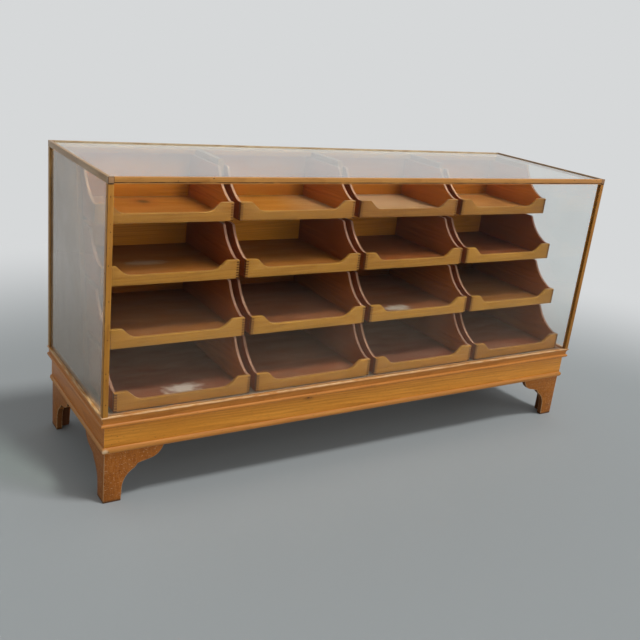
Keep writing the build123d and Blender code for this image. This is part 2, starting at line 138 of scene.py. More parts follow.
def woodMaterial(name, **given):
    look = {**plainWood, **given}
    ring, streak, fibre = look["grain"]
    shine, rough, coat = look["polish"]
    pale, deep, warm, pore, end, worn = look["colours"].split()
    material, tree = newMaterial(name)

    def carried(layer, out="Fac"):
        return addNode(tree, "ShaderNodeAttribute", out=out, attribute_name=layer)

    def vector(operation, *values, **settings):
        return calc(tree, operation, *values, space="Vector", **settings)

    def band(value, low, high, floor=0.0, ceiling=1.0, **settings):
        links = {"Value": value, "From Min": low, "From Max": high, "To Min": floor, "To Max": ceiling}
        return addNode(tree, "ShaderNodeMapRange", links, **settings)

    def pattern(kind, place, width=None, floor=0.0, ceiling=1.0):
        stretch, detail, low, high = patterns[kind]
        width = width or look["widths"][kind]
        scale = (1 / (width * stretch * mm), 1 / (width * mm), 1 / (width * mm))
        stretched = vector("MULTIPLY", place, scale)
        noise = addNode(tree, "ShaderNodeTexNoise", {"Vector": stretched, "Scale": 1.0, "Detail": detail})
        return band(noise, low, high, floor, ceiling)

    def sums(value, factor, rest=0.0):
        return calc(tree, "MULTIPLY_ADD", value, factor, rest)

    def over(colour, share, code):
        return addNode(tree, "ShaderNodeMix", {0: share, 6: colour, 7: srgb(code)}, 2, data_type="RGBA")

    space = carried("woodSpace", "Vector")
    tone, grainEnd, wear, dust = (carried(layer) for layer in faceLayers)

    # Slow bends of the log carry every finer line with them
    slow = vector("MULTIPLY", space, look["slowness"])
    bendNoise = addNode(tree, "ShaderNodeTexNoise", {"Vector": slow, "Scale": 1.0, "Detail": 2.0}, "Color")
    reach = look["bend"] * mm
    sway = vector("MULTIPLY_ADD", bendNoise, (0.0, reach, reach), (0.0, -reach / 2, -reach / 2))
    bent = vector("ADD", space, sway)

    # Growth rings about the pith, tapering along the log so that flat faces show arches
    fromPith = vector("LENGTH", vector("MULTIPLY", bent, (0.0, 1.0, 1.0)), out="Value")
    along = addNode(tree, "ShaderNodeSeparateXYZ", {0: bent}, "X")
    years = calc(tree, "DIVIDE", sums(along, look["taper"], fromPith), ring * mm)
    rings = band(calc(tree, "FRACT", years), *lateWood, interpolation_type="SMOOTHSTEP")
    streaks = pattern("streaks", bent, streak)
    fibres = pattern("fibres", space, fibre)
    clouds = pattern("clouds", bent)
    pores = pattern("pores", space)

    figure = 0.0
    for lines, share in zip((rings, streaks, fibres), look["mix"]):
        figure = sums(lines, share, figure)
    colour = over(srgb(pale), figure, deep)
    colour = over(colour, sums(clouds, look["clouds"]), warm)
    colour = over(colour, sums(pores, look["pores"]), pore)
    if "ripple" in look:        # curl: bands across the grain that catch the light
        width, share = look["ripple"]
        colour = over(colour, sums(pattern("ripple", space, width), share), pale)
    if "marks" in look:        # knots, nicks and bruises, dark and sparse
        colour = over(colour, pattern("marks", space, look["marks"]), pore)
    if "scuffs" in look:        # finish rubbed off in small pale flecks
        colour = over(colour, pattern("scuffs", space, look["scuffs"], ceiling=look["scuffShare"]), worn)

    # End grain, worn arrises, grime where the wear is below zero, and each board's tone; the wear also
    # carries painted light above zero and painted shade below zero, and the tone carries painted shading on
    # some boards
    colour = over(colour, sums(grainEnd, look["endShare"]), end)
    patchy = pattern("rubbed", space, floor=look["patchy"])
    rubbed = calc(tree, "MULTIPLY", wear, patchy, use_clamp=True)
    colour = over(colour, sums(rubbed, look["wear"]), worn)
    grimeAndShade = calc(tree, "MULTIPLY", calc(tree, "MULTIPLY", wear, patchy), -1.0, use_clamp=True)
    colour = over(colour, grimeAndShade, pore)
    value, hue = sums(tone, look["spread"], 1.0), sums(tone, look["hues"], 0.5)
    colour = addNode(tree, "ShaderNodeHueSaturation", {"Value": value, "Hue": hue, "Color": colour})

    # Marks at their own places: knots, powder spilled in a drawer, a rubbed end, and painted shadow lines
    if look["patches"]:
        place = addNode(tree, "ShaderNodeTexCoord", out="Object")
        cloud = addNode(tree, "ShaderNodeTexNoise", {"Vector": place, "Scale": 38.0, "Detail": 4.0})
    for centre, size, ragged, strength, stain in look["patches"]:
        offset = vector("SUBTRACT", place, [c * mm for c in centre])
        reachOut = vector("LENGTH", vector("DIVIDE", offset, [c * mm for c in size]), out="Value")
        inside = calc(tree, "SUBTRACT", sums(cloud, -2 * ragged, 1.0 + ragged), reachOut)
        colour = over(colour, band(inside, 0.0, 0.6, 0.0, strength), stain)
    blown = pattern("blown", space, floor=look["dustFloor"])
    colour = over(colour, calc(tree, "MULTIPLY", blown, dust), look["dust"])

    roughness = sums(pores, 0.15, sums(clouds, 0.10, rough))
    height = sums(pores, -1.0, fibres)
    relief = {"Height": height, "Strength": look["relief"], "Distance": look["poreDepth"] * mm}
    surface = addNode(tree, "ShaderNodeBsdfPrincipled", {
        "Base Color": colour, "Roughness": roughness, "Normal": addNode(tree, "ShaderNodeBump", relief),
        "IOR": 1.5, "Specular IOR Level": shine, "Coat Weight": coat, "Coat Roughness": 0.3,
    })
    addNode(tree, "ShaderNodeOutputMaterial", {"Surface": surface}, None)
    return material


def cornerStains(height):        # dark joints between the rails at the four corners
    return [((x, y, height), (12, 4, 2.0), 0.2, 0.85, "#2b1a0c") for x in (-907, 907) for y in (-290, 268)]


slenderOak = {"grain": (4.2, 6.0, 0.9), "mix": (0.22, 0.42, 0.28)}
mouldedOak = {"grain": (5.5, 8.0, 1.0), "mix": (0.25, 0.42, 0.26), "marks": 3.0}

# Oak, planed and lacquered: honey coloured, a soft sheen and pale rubbed arrises
lacqueredOakFrame = woodMaterial(
    "lacqueredOakFrame",
    **slenderOak, colours="#eeae59 #b6782e #d48d3e #4a2b12 #7a5534 #dcb57c", marks=6.0,
    wear=0.35, polish=(0.28, 0.34, 0.10),
)

# The same oak, darker where hands have held the posts, with old nicks; the back posts are painted paler
# outside, painted light on faces that the lamps leave dim
lacqueredOakPosts = woodMaterial(
    "lacqueredOakPosts",
    **slenderOak, colours="#cb8f3c #965d1e #b27025 #3d220d #7a5534 #cfa468", marks=7.0, wear=0.3,
    polish=(0.2, 0.36, 0.06),
    patches=cornerStains(916.5)
    + [((x, 261, 600), (7, 15, 900), 0.2, 0.6, "#d2b48a") for x in (-915, 915)],
)

# The same oak, greyer: painted shade, the dull grey of the shaded end rails, which the back rail shares
shadeGreyedOakRails = woodMaterial(
    "shadeGreyedOakRails",
    **slenderOak, colours="#cfae86 #957350 #b08c64 #35210f #b58659 #e6cfa8", marks=4.5, wear=0.8,
    polish=(0.25, 0.4, 0.05),
    patches=cornerStains(918) + [((-915, -290, 926), (2.2, 3, 11), 0.2, 0.8, "#2b1a0c")],
)

# Oak, planed and lacquered: the broad boards of the base, with a dark knot
lacqueredOakBase = woodMaterial(
    "lacqueredOakBase",
    colours="#eb9a3a #b36c1e #d08126 #4b2a10 #6e4a2b #dfb98a", grain=(6.5, 9.0, 1.0),
    mix=(0.28, 0.44, 0.26), marks=3.2, clouds=0.6, polish=(0.25, 0.36, 0.08),
    patches=[((-250, -281, 236), (7, 4, 4), 0.3, 0.85, "#43240c"),
             ((-250, -281, 233), (26, 5, 9), 0.5, 0.4, "#7d4c18")],
)

# Oak, run through a moulding plane and lacquered: more orange where the polish has kept
lacqueredOakCornice = woodMaterial(
    "lacqueredOakCornice",
    **mouldedOak, colours="#db8e3e #a26020 #be762d #4b2a10 #6e4a2b #e3c093", wear=0.8,
    patchy=0.1, dust="#776d60", polish=(0.25, 0.36, 0.08),
)

# The same moulding oak, rubbed to a pinkish tan at the lower bead
lacqueredOakBead = woodMaterial(
    "lacqueredOakBead",
    **mouldedOak, colours="#d48e42 #a66527 #c07934 #55321a #7c5636 #dcb88f",
    polish=(0.25, 0.38, 0.06),
    patches=[((-905, -286, 169), (13, 12, 9), 0.5, 0.8, "#d8bd98"),
             ((-893, -288, 168), (3.5, 4, 3), 0.3, 0.85, "#3f2412")],
)

# Oak, bandsawn and stained: redder, kicked and scuffed at shoe height, dark at the floor
stainedOakFeet = woodMaterial(
    "stainedOakFeet",
    colours="#b36b24 #87470f #9d5614 #3f200c #6a3f20 #dcb78a", grain=(5.5, 8.0, 1.0),
    mix=(0.25, 0.40, 0.25), ripple=(21.0, 0.8), scuffs=1.9, marks=4.0, patchy=0.4,
    polish=(0.2, 0.42, 0.05), patches=[((0, 0, 0), (4000, 4000, 9), 0.3, 0.8, "#35200f")],
)

# Oak, planed and lacquered: the lighter fronts of the drawers
lacqueredOakFronts = woodMaterial(
    "lacqueredOakFronts",
    colours="#a6722c #815017 #925e1d #5f3817 #4a2a14 #d3aa68", grain=(5.2, 7.0, 0.9),
    mix=(0.32, 0.40, 0.24), ripple=(18.2, 0.3), hues=0.003, spread=0.12,
    polish=(0.18, 0.33, 0.08),
)

# Mahogany, planed and oiled: reddish sides, paler than the wood as painted light on their dim inner faces,
# whose scooped edges are pale with rubbed wear and painted highlight
oiledMahoganySides = woodMaterial(
    "oiledMahoganySides",
    colours="#b46025 #7e3c11 #92481a #38190a #4a2710 #8c6552", grain=(5.0, 8.0, 1.0),
    mix=(0.22, 0.40, 0.24), endShare=0.92, spread=0.2, patchy=0.85,
    polish=(0.06, 0.42, 0.03),
)

# Oak, planed and lightly lacquered: golden backs
planedOakBacks = woodMaterial(
    "planedOakBacks",
    colours="#c17629 #935012 #a65d1b #5c3a1c #6b4728 #cfa473", grain=(6.0, 9.0, 1.0),
    mix=(0.27, 0.40, 0.24), spread=0.2, polish=(0.06, 0.42, 0.04),
)

# Gaboon plywood, rotary cut and lacquered: brown with broad lazy figure
lacqueredPlyBottoms = woodMaterial(
    "lacqueredPlyBottoms",
    colours="#934d10 #662c04 #783a09 #4e2d17 #5e3b21 #b98a60", grain=(8.0, 12.0, 1.2),
    mix=(0.32, 0.42, 0.22), clouds=0.6, spread=0.2, hues=0.009, marks=3.4,
    dust="#a08a74", polish=(0.06, 0.40, 0.03),
    patches=[((-640, -190, 283), (75, 42, 12), 0.8, 0.75, "#cbbfb2"),
             ((189, -115, 445), (66, 36, 12), 0.8, 0.75, "#c2b6a8"),
             ((-684, 48, 606), (85, 28, 12), 0.7, 0.6, "#a8957f"),
             ((-648, 165, 768), (60, 70, 8), 0.5, 0.6, "#7a3d0c"),
             ((-648, 170, 768), (24, 30, 8), 0.2, 0.95, "#381804"),
             ((221, 70, 768), (430, 330, 12), 0.15, 0.6, "#ae8e6c"),
             ((664, 70, 768), (430, 330, 12), 0.15, 0.3, "#a47a4a")]
    # painted shade: a dark line in the top row where the bottom meets the back
    + [((x, 235, 768), (260, 7, 6), 0.1, 0.85, "#2a1608") for x in (-664, -221, 221, 664)],
)

# Deal, planed and stained: dull and plain, out of sight between the columns
stainedDealCarcass = woodMaterial(
    "stainedDealCarcass",
    colours="#8a6038 #633f1e #70491f #3f2814 #52361f #a58261", wear=0.4, grain=(5.5, 10.0, 1.2),
    mix=(0.25, 0.4, 0.2), polish=(0.05, 0.5, 0.02),
)

# Deal, sanded and stained: the wide boards beside the drawers, browner and smoother
sandedDealPanels = woodMaterial(
    "sandedDealPanels",
    colours="#94683c #6c4421 #7b5028 #472c16 #5c3d24 #b18d69", wear=0.4, grain=(6.5, 12.0, 1.3),
    mix=(0.28, 0.4, 0.2), polish=(0.08, 0.42, 0.04),
)

# Oak, planed and lacquered: the rails that the shopkeeper sees between the drawers
lacqueredOakRails = woodMaterial(
    "lacqueredOakRails",
    colours="#bd8642 #90591f #a46b2b #55351a #6b4728 #d0a676", grain=(5.0, 8.0, 1.1),
    mix=(0.25, 0.4, 0.22), marks=3.5, polish=(0.2, 0.36, 0.08),
)

# Deal, planed and never polished: grey with years of dust, and a painted shadow line under the drawer fronts
dustyShadowedDealFloor = woodMaterial(
    "dustyShadowedDealFloor",
    colours="#85705a #5f4b38 #6e5842 #3e3226 #5c4a38 #a3927e", grain=(6.0, 10.0, 1.2),
    mix=(0.25, 0.4, 0.2), dust="#756c5f", polish=(0.05, 0.6, 0.0),
    patches=[((0, -262.5, 271.5), (5000, 4.0, 4), 0.1, 0.8, "#1d1713")],
)

# Beech, turned and polished: fine rings that follow the lathe
polishedBeechKnobs = woodMaterial(
    "polishedBeechKnobs",
    colours="#b0733a #824c20 #965a28 #452511 #824c20 #c1905c", grain=(3.2, 4.0, 0.8),
    mix=(0.35, 0.35, 0.2), polish=(0.25, 0.34, 0.08),
)


# Drawn sheet glass, fire polished: clear, faintly wavy, with a film of dust on top, which on the left pane is
# also a painted reflection
def glassMaterial(name, look):
    material, tree = newMaterial(name)
    place = addNode(tree, "ShaderNodeTexCoord", out="Object")
    waves = addNode(tree, "ShaderNodeTexNoise", {"Vector": place, "Scale": 3.5, "Detail": 1.0})
    smears = addNode(tree, "ShaderNodeTexNoise", {"Vector": place, "Scale": 9.0, "Detail": 5.0})
    pane = addNode(tree, "ShaderNodeBsdfPrincipled", {
        "Base Color": srgb(look["tint"]), "Roughness": 0.0, "IOR": look["ior"], "Transmission Weight": 1.0,
        "Normal": addNode(tree, "ShaderNodeBump", {"Height": waves, "Strength": 0.06, "Distance": 1.0 * mm}),
    })
    film = addNode(tree, "ShaderNodeBsdfDiffuse", {"Color": srgb("#dcc6ae")})
    haze = addNode(tree, "ShaderNodeMapRange", {
        "Value": smears, "From Min": 0.3, "From Max": 0.7,
        "To Min": look["film"] * 0.7, "To Max": look["film"] * 1.3,
    })
    if "clearAbove" in look:        # wiped above, dusty towards the base
        height = addNode(tree, "ShaderNodeSeparateXYZ", {0: place}, "Z")
        limits = {"Value": height, "From Min": look["clearAbove"], "From Max": look["clearAbove"] - 0.2}
        haze = calc(tree, "MULTIPLY", haze, addNode(tree, "ShaderNodeMapRange", limits))
    dusty = addNode(tree, "ShaderNodeMixShader", {0: haze, 1: pane, 2: film})
    clear = addNode(tree, "ShaderNodeBsdfTransparent", {"Color": srgb(look["tint"])})
    shadow = addNode(tree, "ShaderNodeLightPath", out="Is Shadow Ray")
    surface = addNode(tree, "ShaderNodeMixShader", {0: shadow, 1: dusty, 2: clear})
    addNode(tree, "ShaderNodeOutputMaterial", {"Surface": surface}, None)
    return material


# Steel, drawn into pins and blackened: dull dark heads with a little rust
def steelMaterial(name):
    material, tree = newMaterial(name)
    place = addNode(tree, "ShaderNodeTexCoord", out="Object")
    grit = addNode(tree, "ShaderNodeTexNoise", {"Vector": place, "Scale": 1800.0, "Detail": 2.0})
    steel, rust = srgb("#2e2824"), srgb("#3a2417")
    colour = addNode(tree, "ShaderNodeMix", {0: grit, 6: steel, 7: rust}, 2, data_type="RGBA")
    roughness = calc(tree, "MULTIPLY_ADD", grit, 0.3, 0.5)
    metal = {"Base Color": colour, "Roughness": roughness, "Metallic": 0.85}
    surface = addNode(tree, "ShaderNodeBsdfPrincipled", metal)
    addNode(tree, "ShaderNodeOutputMaterial", {"Surface": surface}, None)
    return material


blackenedSteelPins = steelMaterial("blackenedSteelPins")
print("finishes ready")


# Outlines, in millimetres
def bulged(start, end, bulge, steps=10):        # arc from start towards end, bulging to its right
    (ax, ay), (bx, by) = start, end
    chord = math.hypot(bx - ax, by - ay)
    side = ((by - ay) / chord, -(bx - ax) / chord)
    radius = (chord * chord / 4 + bulge * bulge) / (2 * bulge)
    centre = ((ax + bx) / 2 + side[0] * (bulge - radius), (ay + by) / 2 + side[1] * (bulge - radius))
    first = math.atan2(ay - centre[1], ax - centre[0])
    sweep = 4 * math.atan(2 * bulge / chord)
    angles = [first + sweep * i / steps for i in range(steps)]
    return [(centre[0] + abs(radius) * math.cos(a), centre[1] + abs(radius) * math.sin(a)) for a in angles]


def rounded(before, corner, after, radius, steps=6):
    p, a, b = Vector(corner), Vector(before), Vector(after)
    inward, outward = (a - p).normalized(), (b - p).normalized()
    half = inward.angle(outward) / 2
    reach = radius / math.tan(half)
    centre = p + (inward + outward).normalized() * (radius / math.sin(half))
    first, last = p + inward * reach - centre, p + outward * reach - centre
    turn = first.angle_signed(last) * -1
    points = []
    for i in range(steps + 1):
        c, s = math.cos(turn * i / steps), math.sin(turn * i / steps)
        points.append((centre.x + first.x * c - first.y * s, centre.y + first.x * s + first.y * c))
    return points


def outlineOf(points):        # points are (x, y) or (x, y, radius)
    made = []
    for i, point in enumerate(points):
        if len(point) == 3:
            made += rounded(points[i - 1][:2], point[:2], points[(i + 1) % len(points)][:2], point[2])
        else:
            made.append(tuple(point))
    return made


# Boards. A piece is one bmesh in millimetres that boards are added to.
board = {
    "along": 9, "aside": 0.3, "deep": (0.03, 0.1),        # where in the log: metres, share of width, metres
    "endGrain": 0.75, "upward": 0.9,        # how squarely a face has to look that way
    "rubbed": 0.8, "sharp": 28, "smooth": 32,        # wear of an arris, and angles in degrees
    "packedArris": 0.6, "packedDust": 0.5,
}


def newPiece():
    bm = bmesh.new()
    bm.verts.layers.float_vector.new("woodSpace")
    for layer in faceLayers:
        bm.faces.layers.float.new(layer)
    bm.faces.layers.int.new("stamped")
    return bm


def freshFaces(bm):        # those that no board has been stamped on yet
    stamped = bm.faces.layers.int["stamped"]
    return [f for f in bm.faces if not f[stamped]]


def stampBoard(bm, grain, tone=0.0, worn=(), rim=(), rimWearAndHighlight=0.0, slot=0, dust=0.0):
    fresh = freshFaces(bm)
    verts = list({v for f in fresh for v in f.verts})
    middle = sum((v.co for v in verts), Vector()) / len(verts)
    lengths = {}
    for name, axis in axes.items():
        reach = [axis.dot(v.co) for v in verts]
        lengths[name] = max(reach) - min(reach)
    wide, thin = sorted((name for name in axes if name != grain), key=lambda name: -lengths[name])
    along = draw.uniform(0, board["along"])
    aside = drift(board["aside"]) * lengths[wide] * mm
    shift = Vector((along, aside, draw.uniform(*board["deep"])))
    tone += drift(1)
    space = bm.verts.layers.float_vector["woodSpace"]
    for v in verts:
        local = v.co - middle
        v[space] = Vector((axes[grain].dot(local), axes[wide].dot(local), axes[thin].dot(local))) * mm + shift
    layers = [bm.faces.layers.float[layer] for layer in faceLayers]
    stamped = bm.faces.layers.int["stamped"]
    worn, rim = set(worn), set(rim)
    for f in fresh:
        f.normal_update()
        endGrain = abs(f.normal.dot(axes[grain])) > board["endGrain"] and f not in rim
        wear = board["rubbed"] if f in worn else rimWearAndHighlight if f in rim else 0.0
        lying = dust if f.normal.z > board["upward"] else 0.0
        for layer, value in zip(layers, (tone, float(endGrain), wear, lying)):
            f[layer] = value
        f[stamped] = 1
        f.material_index = slot


def bevelBoard(bm, faces, width, wanted=lambda e: True):        # gives the new faces
    edges = {e for f in faces for e in f.edges}
    sharp = [e for e in edges if e.calc_face_angle(0) > math.radians(board["sharp"]) and wanted(e)]
    return bmesh.ops.bevel(
        bm, geom=sharp, offset=width, offset_type="OFFSET", segments=2, profile=0.5, affect="EDGES",
        clamp_overlap=True,
    )["faces"]


def closeBoard(bm, near, far):        # two caps and the faces between them
    count = len(near)
    faces = [bm.faces.new(near[::-1]), bm.faces.new(far)]
    for i in range(count):
        j = (i + 1) % count
        faces.append(bm.faces.new((near[i], near[j], far[j], far[i])))
    bmesh.ops.recalc_face_normals(bm, faces=faces)
    return faces


def addBoard(bm, outline, origin, u, v, depth, grain, edge=0.5, rimWearAndHighlight=0.0, rimAbove=0.0, **look):
    u, v, origin = Vector(u), Vector(v), Vector(origin)
    w = u.cross(v)
    near = [bm.verts.new(origin + u * a + v * b) for a, b in outline]
    far = [bm.verts.new(vert.co + w * depth) for vert in near]
    faces = closeBoard(bm, near, far)
    worn = bevelBoard(bm, faces, edge) if edge else []
    rim = []
    if rimWearAndHighlight:        # found after the bevel, which makes the faces anew
        bm.normal_update()
        rim = [
            f for f in freshFaces(bm)
            if abs(f.normal.dot(w)) < 0.5 and f.calc_center_median().z > rimAbove
        ]
    stampBoard(bm, grain, worn=worn, rim=rim, rimWearAndHighlight=rimWearAndHighlight, **look)


def addBox(bm, low, high, grain, **look):
    size = Vector(high) - Vector(low)
    outline = [(0, 0), (size.x, 0), (size.x, size.y), (0, size.y)]
    addBoard(bm, outline, low, axes["x"], axes["y"], size.z, grain, **look)


def addPackedBoards(bm, node):        # a copy of a node, board by board
    source = bmesh.new()
    source.from_mesh(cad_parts[node].data)
    bmesh.ops.scale(source, vec=(1 / mm,) * 3, verts=source.verts)
    bmesh.ops.remove_doubles(source, verts=source.verts, dist=0.005)
    bmesh.ops.dissolve_limit(source, angle_limit=math.radians(0.5), verts=source.verts, edges=source.edges)
    waiting = set(source.faces)
    while waiting:
        first = min(waiting, key=lambda f: f.index)
        found, front = {first}, [first]
        while front:
            for e in front.pop().edges:
                for f in e.link_faces if len(e.link_faces) == 2 else ():        # four where two boards touch
                    if f not in found:
                        found.add(f)
                        front.append(f)
        waiting -= found
        order = sorted(found, key=lambda f: f.index)
        corners = {v: bm.verts.new(v.co) for v in dict.fromkeys(v for f in order for v in f.verts)}
        faces = [bm.faces.new([corners[v] for v in f.verts]) for f in order]
        for f in faces:        # new faces have no normal, and the bevel goes by the angles between them
            f.normal_update()
        worn = bevelBoard(bm, faces, board["packedArris"])
        reach = {}
        for name, axis in axes.items():
            along = [axis.dot(v.co) for v in corners]
            reach[name] = max(along) - min(along)
        stampBoard(bm, max(reach, key=reach.get), worn=worn, dust=board["packedDust"])
    source.free()


def addObject(name, data):
    made = bpy.data.objects.new(name, data)
    bpy.context.scene.collection.objects.link(made)
    return made


def makeObject(bm, name, materials, smooth):        # edges flatter than that angle are shaded smooth
    for face in bm.faces:
        face.smooth = True
    for edge in bm.edges:
        edge.smooth = len(edge.link_faces) == 2 and edge.calc_face_angle(0) < math.radians(smooth)
    bmesh.ops.scale(bm, vec=(mm, mm, mm), verts=bm.verts)
    mesh = bpy.data.meshes.new(name)
    bm.to_mesh(mesh)
    bm.free()
    for material in materials:
        mesh.materials.append(material)
    return addObject(name, mesh)


def finishPiece(bm, name, materials, body, replaced):
    piece = makeObject(bm, name, materials, board["smooth"])
    piece.data.attributes.remove(piece.data.attributes["stamped"])
    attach(piece, body)
    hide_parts(replaced)


def paintFaces(name, layer, value, wanted):        # wanted takes a face's centre and normal
    mesh = bpy.data.objects[name].data
    painted = mesh.attributes[layer].data
    for face in mesh.polygons:
        if wanted(face.center / mm, face.normal):
            painted[face.index].value = value


# Geometry Nodes: a tree with named inputs, and its result as a plain mesh
def newTree(name, inputs):
    tree = bpy.data.node_groups.new(name, "GeometryNodeTree")
    tree.interface.new_socket("Geometry", in_out="INPUT", socket_type="NodeSocketGeometry")
    for label, kind in inputs.items():
        tree.interface.new_socket(label, in_out="INPUT", socket_type=f"NodeSocket{kind}")
    tree.interface.new_socket("Geometry", in_out="OUTPUT", socket_type="NodeSocketGeometry")
    return tree, addNode(tree, "NodeGroupInput", out=None).outputs


def drawnSection(tree, given):        # the section filled, drawn out to its length and closed
    base = addNode(tree, "GeometryNodeFillCurve", {"Curve": given["Geometry"]}, mode="NGONS")
    upright = addNode(tree, "ShaderNodeCombineXYZ", {"Z": given["Length"]})
    drawn = addNode(
        tree, "GeometryNodeExtrudeMesh",
        {"Mesh": base, "Offset": upright, "Offset Scale": 1.0, "Individual": False}, mode="FACES",
    )
    join = addNode(tree, "GeometryNodeJoinGeometry", out=None)
    for part in (addNode(tree, "GeometryNodeFlipFaces", {"Mesh": base}), drawn):
        tree.links.new(part, join.inputs[0])
    return addNode(tree, "GeometryNodeMergeByDistance", {"Geometry": join.outputs[0], "Distance": 0.001})


def endTree(tree, geometry, finish):
    real = addNode(tree, "GeometryNodeRealizeInstances", {"Geometry": geometry})
    dressed = addNode(tree, "GeometryNodeSetMaterial", {"Geometry": real, "Material": finish})
    addNode(tree, "NodeGroupOutput", {0: dressed}, None)
    return tree


def growMesh(tree, source, values):
    holder = addObject(tree.name, source)
    grown = holder.modifiers.new(tree.name, "NODES")
    grown.node_group = tree
    for item in tree.interface.items_tree:
        if item.in_out == "INPUT" and item.name in values:
            grown[item.identifier] = values[item.name]
    graph = bpy.context.evaluated_depsgraph_get()
    mesh = bpy.data.meshes.new_from_object(holder.evaluated_get(graph))
    holder.modifiers.remove(grown)
    bpy.data.objects.remove(holder)
    return mesh


def sectionCurve(points, closed=True):        # an outline for a tree, x outwards and y up
    curve = bpy.data.curves.new("section", "CURVE")
    curve.dimensions = "3D"
    line = curve.splines.new("POLY")
    line.points.add(len(points) - 1)
    for point, (x, y) in zip(line.points, points):
        point.co = (x, y, 0, 1)
    line.use_cyclic_u = closed
    return curve


# Slender frame: posts with a groove in each inner face, rails with a rebate for the top pane
# the end rails are a little darker: painted shade
slender = {"arris": 0.45, "railArris": 0.3, "blockArris": 1.0, "endShade": -0.8}


def postOutline():
    size, near = counter["post"], counter["paneInset"]
    far, deep = near + counter["grooveWidth"], size - counter["grooveDepth"]
    return outlineOf([
        (0, 0, counter["postRound"]), (size, 0), (size, near), (deep, near), (deep, far), (size, far),
        (size, size), (far, size), (far, deep), (near, deep), (near, size), (0, size),
    ])


def railOutline(quirk=()):
    size, near = counter["post"], counter["paneInset"]
    far, roof = near + counter["grooveWidth"], railLow + counter["grooveDepth"]
    shelf, ledge = caseTop - counter["rebateFloor"], size - counter["rebateWidth"]
    return outlineOf([
        (0, railLow), (near, railLow), (near, roof), (far, roof), (far, railLow), (size, railLow),
        (size, shelf), (ledge, shelf), (ledge, caseTop), (0, caseTop, counter["postRound"]), *quirk,
    ])


quirk = counter["quirk"]
quirkLow, quirkHigh = railLow + quirk["low"], railLow + quirk["high"]
quirkOutline = [(0, quirkHigh), (quirk["depth"], quirkHigh), (quirk["depth"], quirkLow), (0, quirkLow)]
halfRail = caseX - counter["post"] - counter["railGap"]
for endName, endY, inward in ends:
    for sideName, side in sides:
        bm = newPiece()
        foot = baseTop if side != inward else railLow        # its groove turned inward, drawn up or down
        addBoard(
            bm, postOutline(), (side * caseX, endY, foot), (-side, 0, 0), (0, inward, 0),
            railLow - baseTop, "z", edge=slender["arris"],
        )
        name = f"{endName}_{sideName}"
        finishPiece(bm, f"corner_post_{name}", [lacqueredOakPosts], "case", f"post_{name}")
    bm = newPiece()
    addBoard(
        bm, railOutline(quirkOutline), (-halfRail * inward, endY, 0), (0, inward, 0), axes["z"],
        2 * halfRail, "x", edge=slender["railArris"],
    )
    oak = lacqueredOakFrame if inward == 1 else shadeGreyedOakRails
    finishPiece(bm, f"cross_rail_{endName}", [oak], "case", f"top_rail_{endName}")

endBlock = counter["post"] - counter["rebateWidth"]        # the grooves stop short of the rail's ends
starts = (caseFront + endBlock, caseBack - endBlock)
for sideName, side in sides:
    bm = newPiece()
    addBoard(
        bm, railOutline(), (side * caseX, starts[0] if side == 1 else starts[1], 0), (-side, 0, 0),
        axes["z"], starts[1] - starts[0], "y", edge=slender["arris"], tone=slender["endShade"],
    )
    block = [(0, railLow), (counter["post"], railLow), (counter["post"], caseTop), (0, caseTop)]
    for low in (caseFront, caseBack - endBlock):
        addBoard(
            bm, block, (side * caseX, low if side == 1 else low + endBlock, 0), (-side, 0, 0),
            axes["z"], endBlock, "y", edge=slender["blockArris"], tone=slender["endShade"],
        )
    finishPiece(bm, f"end_rail_{sideName}", [shadeGreyedOakRails], "case", f"top_rail_{sideName}")

# Grime along the joints, where wear below zero darkens; painted shade on the back posts' front faces and in
# the front rail's quirk, and painted light on the back posts' outer faces
jointReach = 1.5
for sideName, side in sides:
    paintFaces(
        f"end_rail_{sideName}", "wearGrimeAndShading", -1.2,
        lambda c, n: 0.2 < abs(n.y) < 0.97 and min(c.y - caseFront, caseBack - c.y) < jointReach,
    )
    for endName, endY, inward in ends:
        paintFaces(
            f"corner_post_{endName}_{sideName}", "wearGrimeAndShading", -0.75,
            lambda c, n: n.x * side > 0.3 and n.y * inward < -0.3,
        )
    # painted shade: the back posts' faces towards the front are darker
    paintFaces(f"corner_post_back_{sideName}", "wearGrimeAndShading", -0.25, lambda c, n: n.y < -0.9)
    # painted light: the back posts' outer faces paler
    paintFaces(f"corner_post_back_{sideName}", "wearGrimeAndShading", 2.6, lambda c, n: n.x * side > 0.9)
# painted shade: the front rail's quirk is darkened, a shadow line under the rail
paintFaces(
    "cross_rail_front", "wearGrimeAndShading", -1.2,
    lambda c, n: quirkLow - quirk["margin"] < c.z < quirkHigh + quirk["margin"]
    and abs(c.y - caseFront) < quirk["depth"] + 2 * quirk["margin"],
)
paintFaces("cross_rail_back", "wearGrimeAndShading", 0.9, lambda c, n: n.y < -0.9 or n.z > 0.9)
print("frame ready")


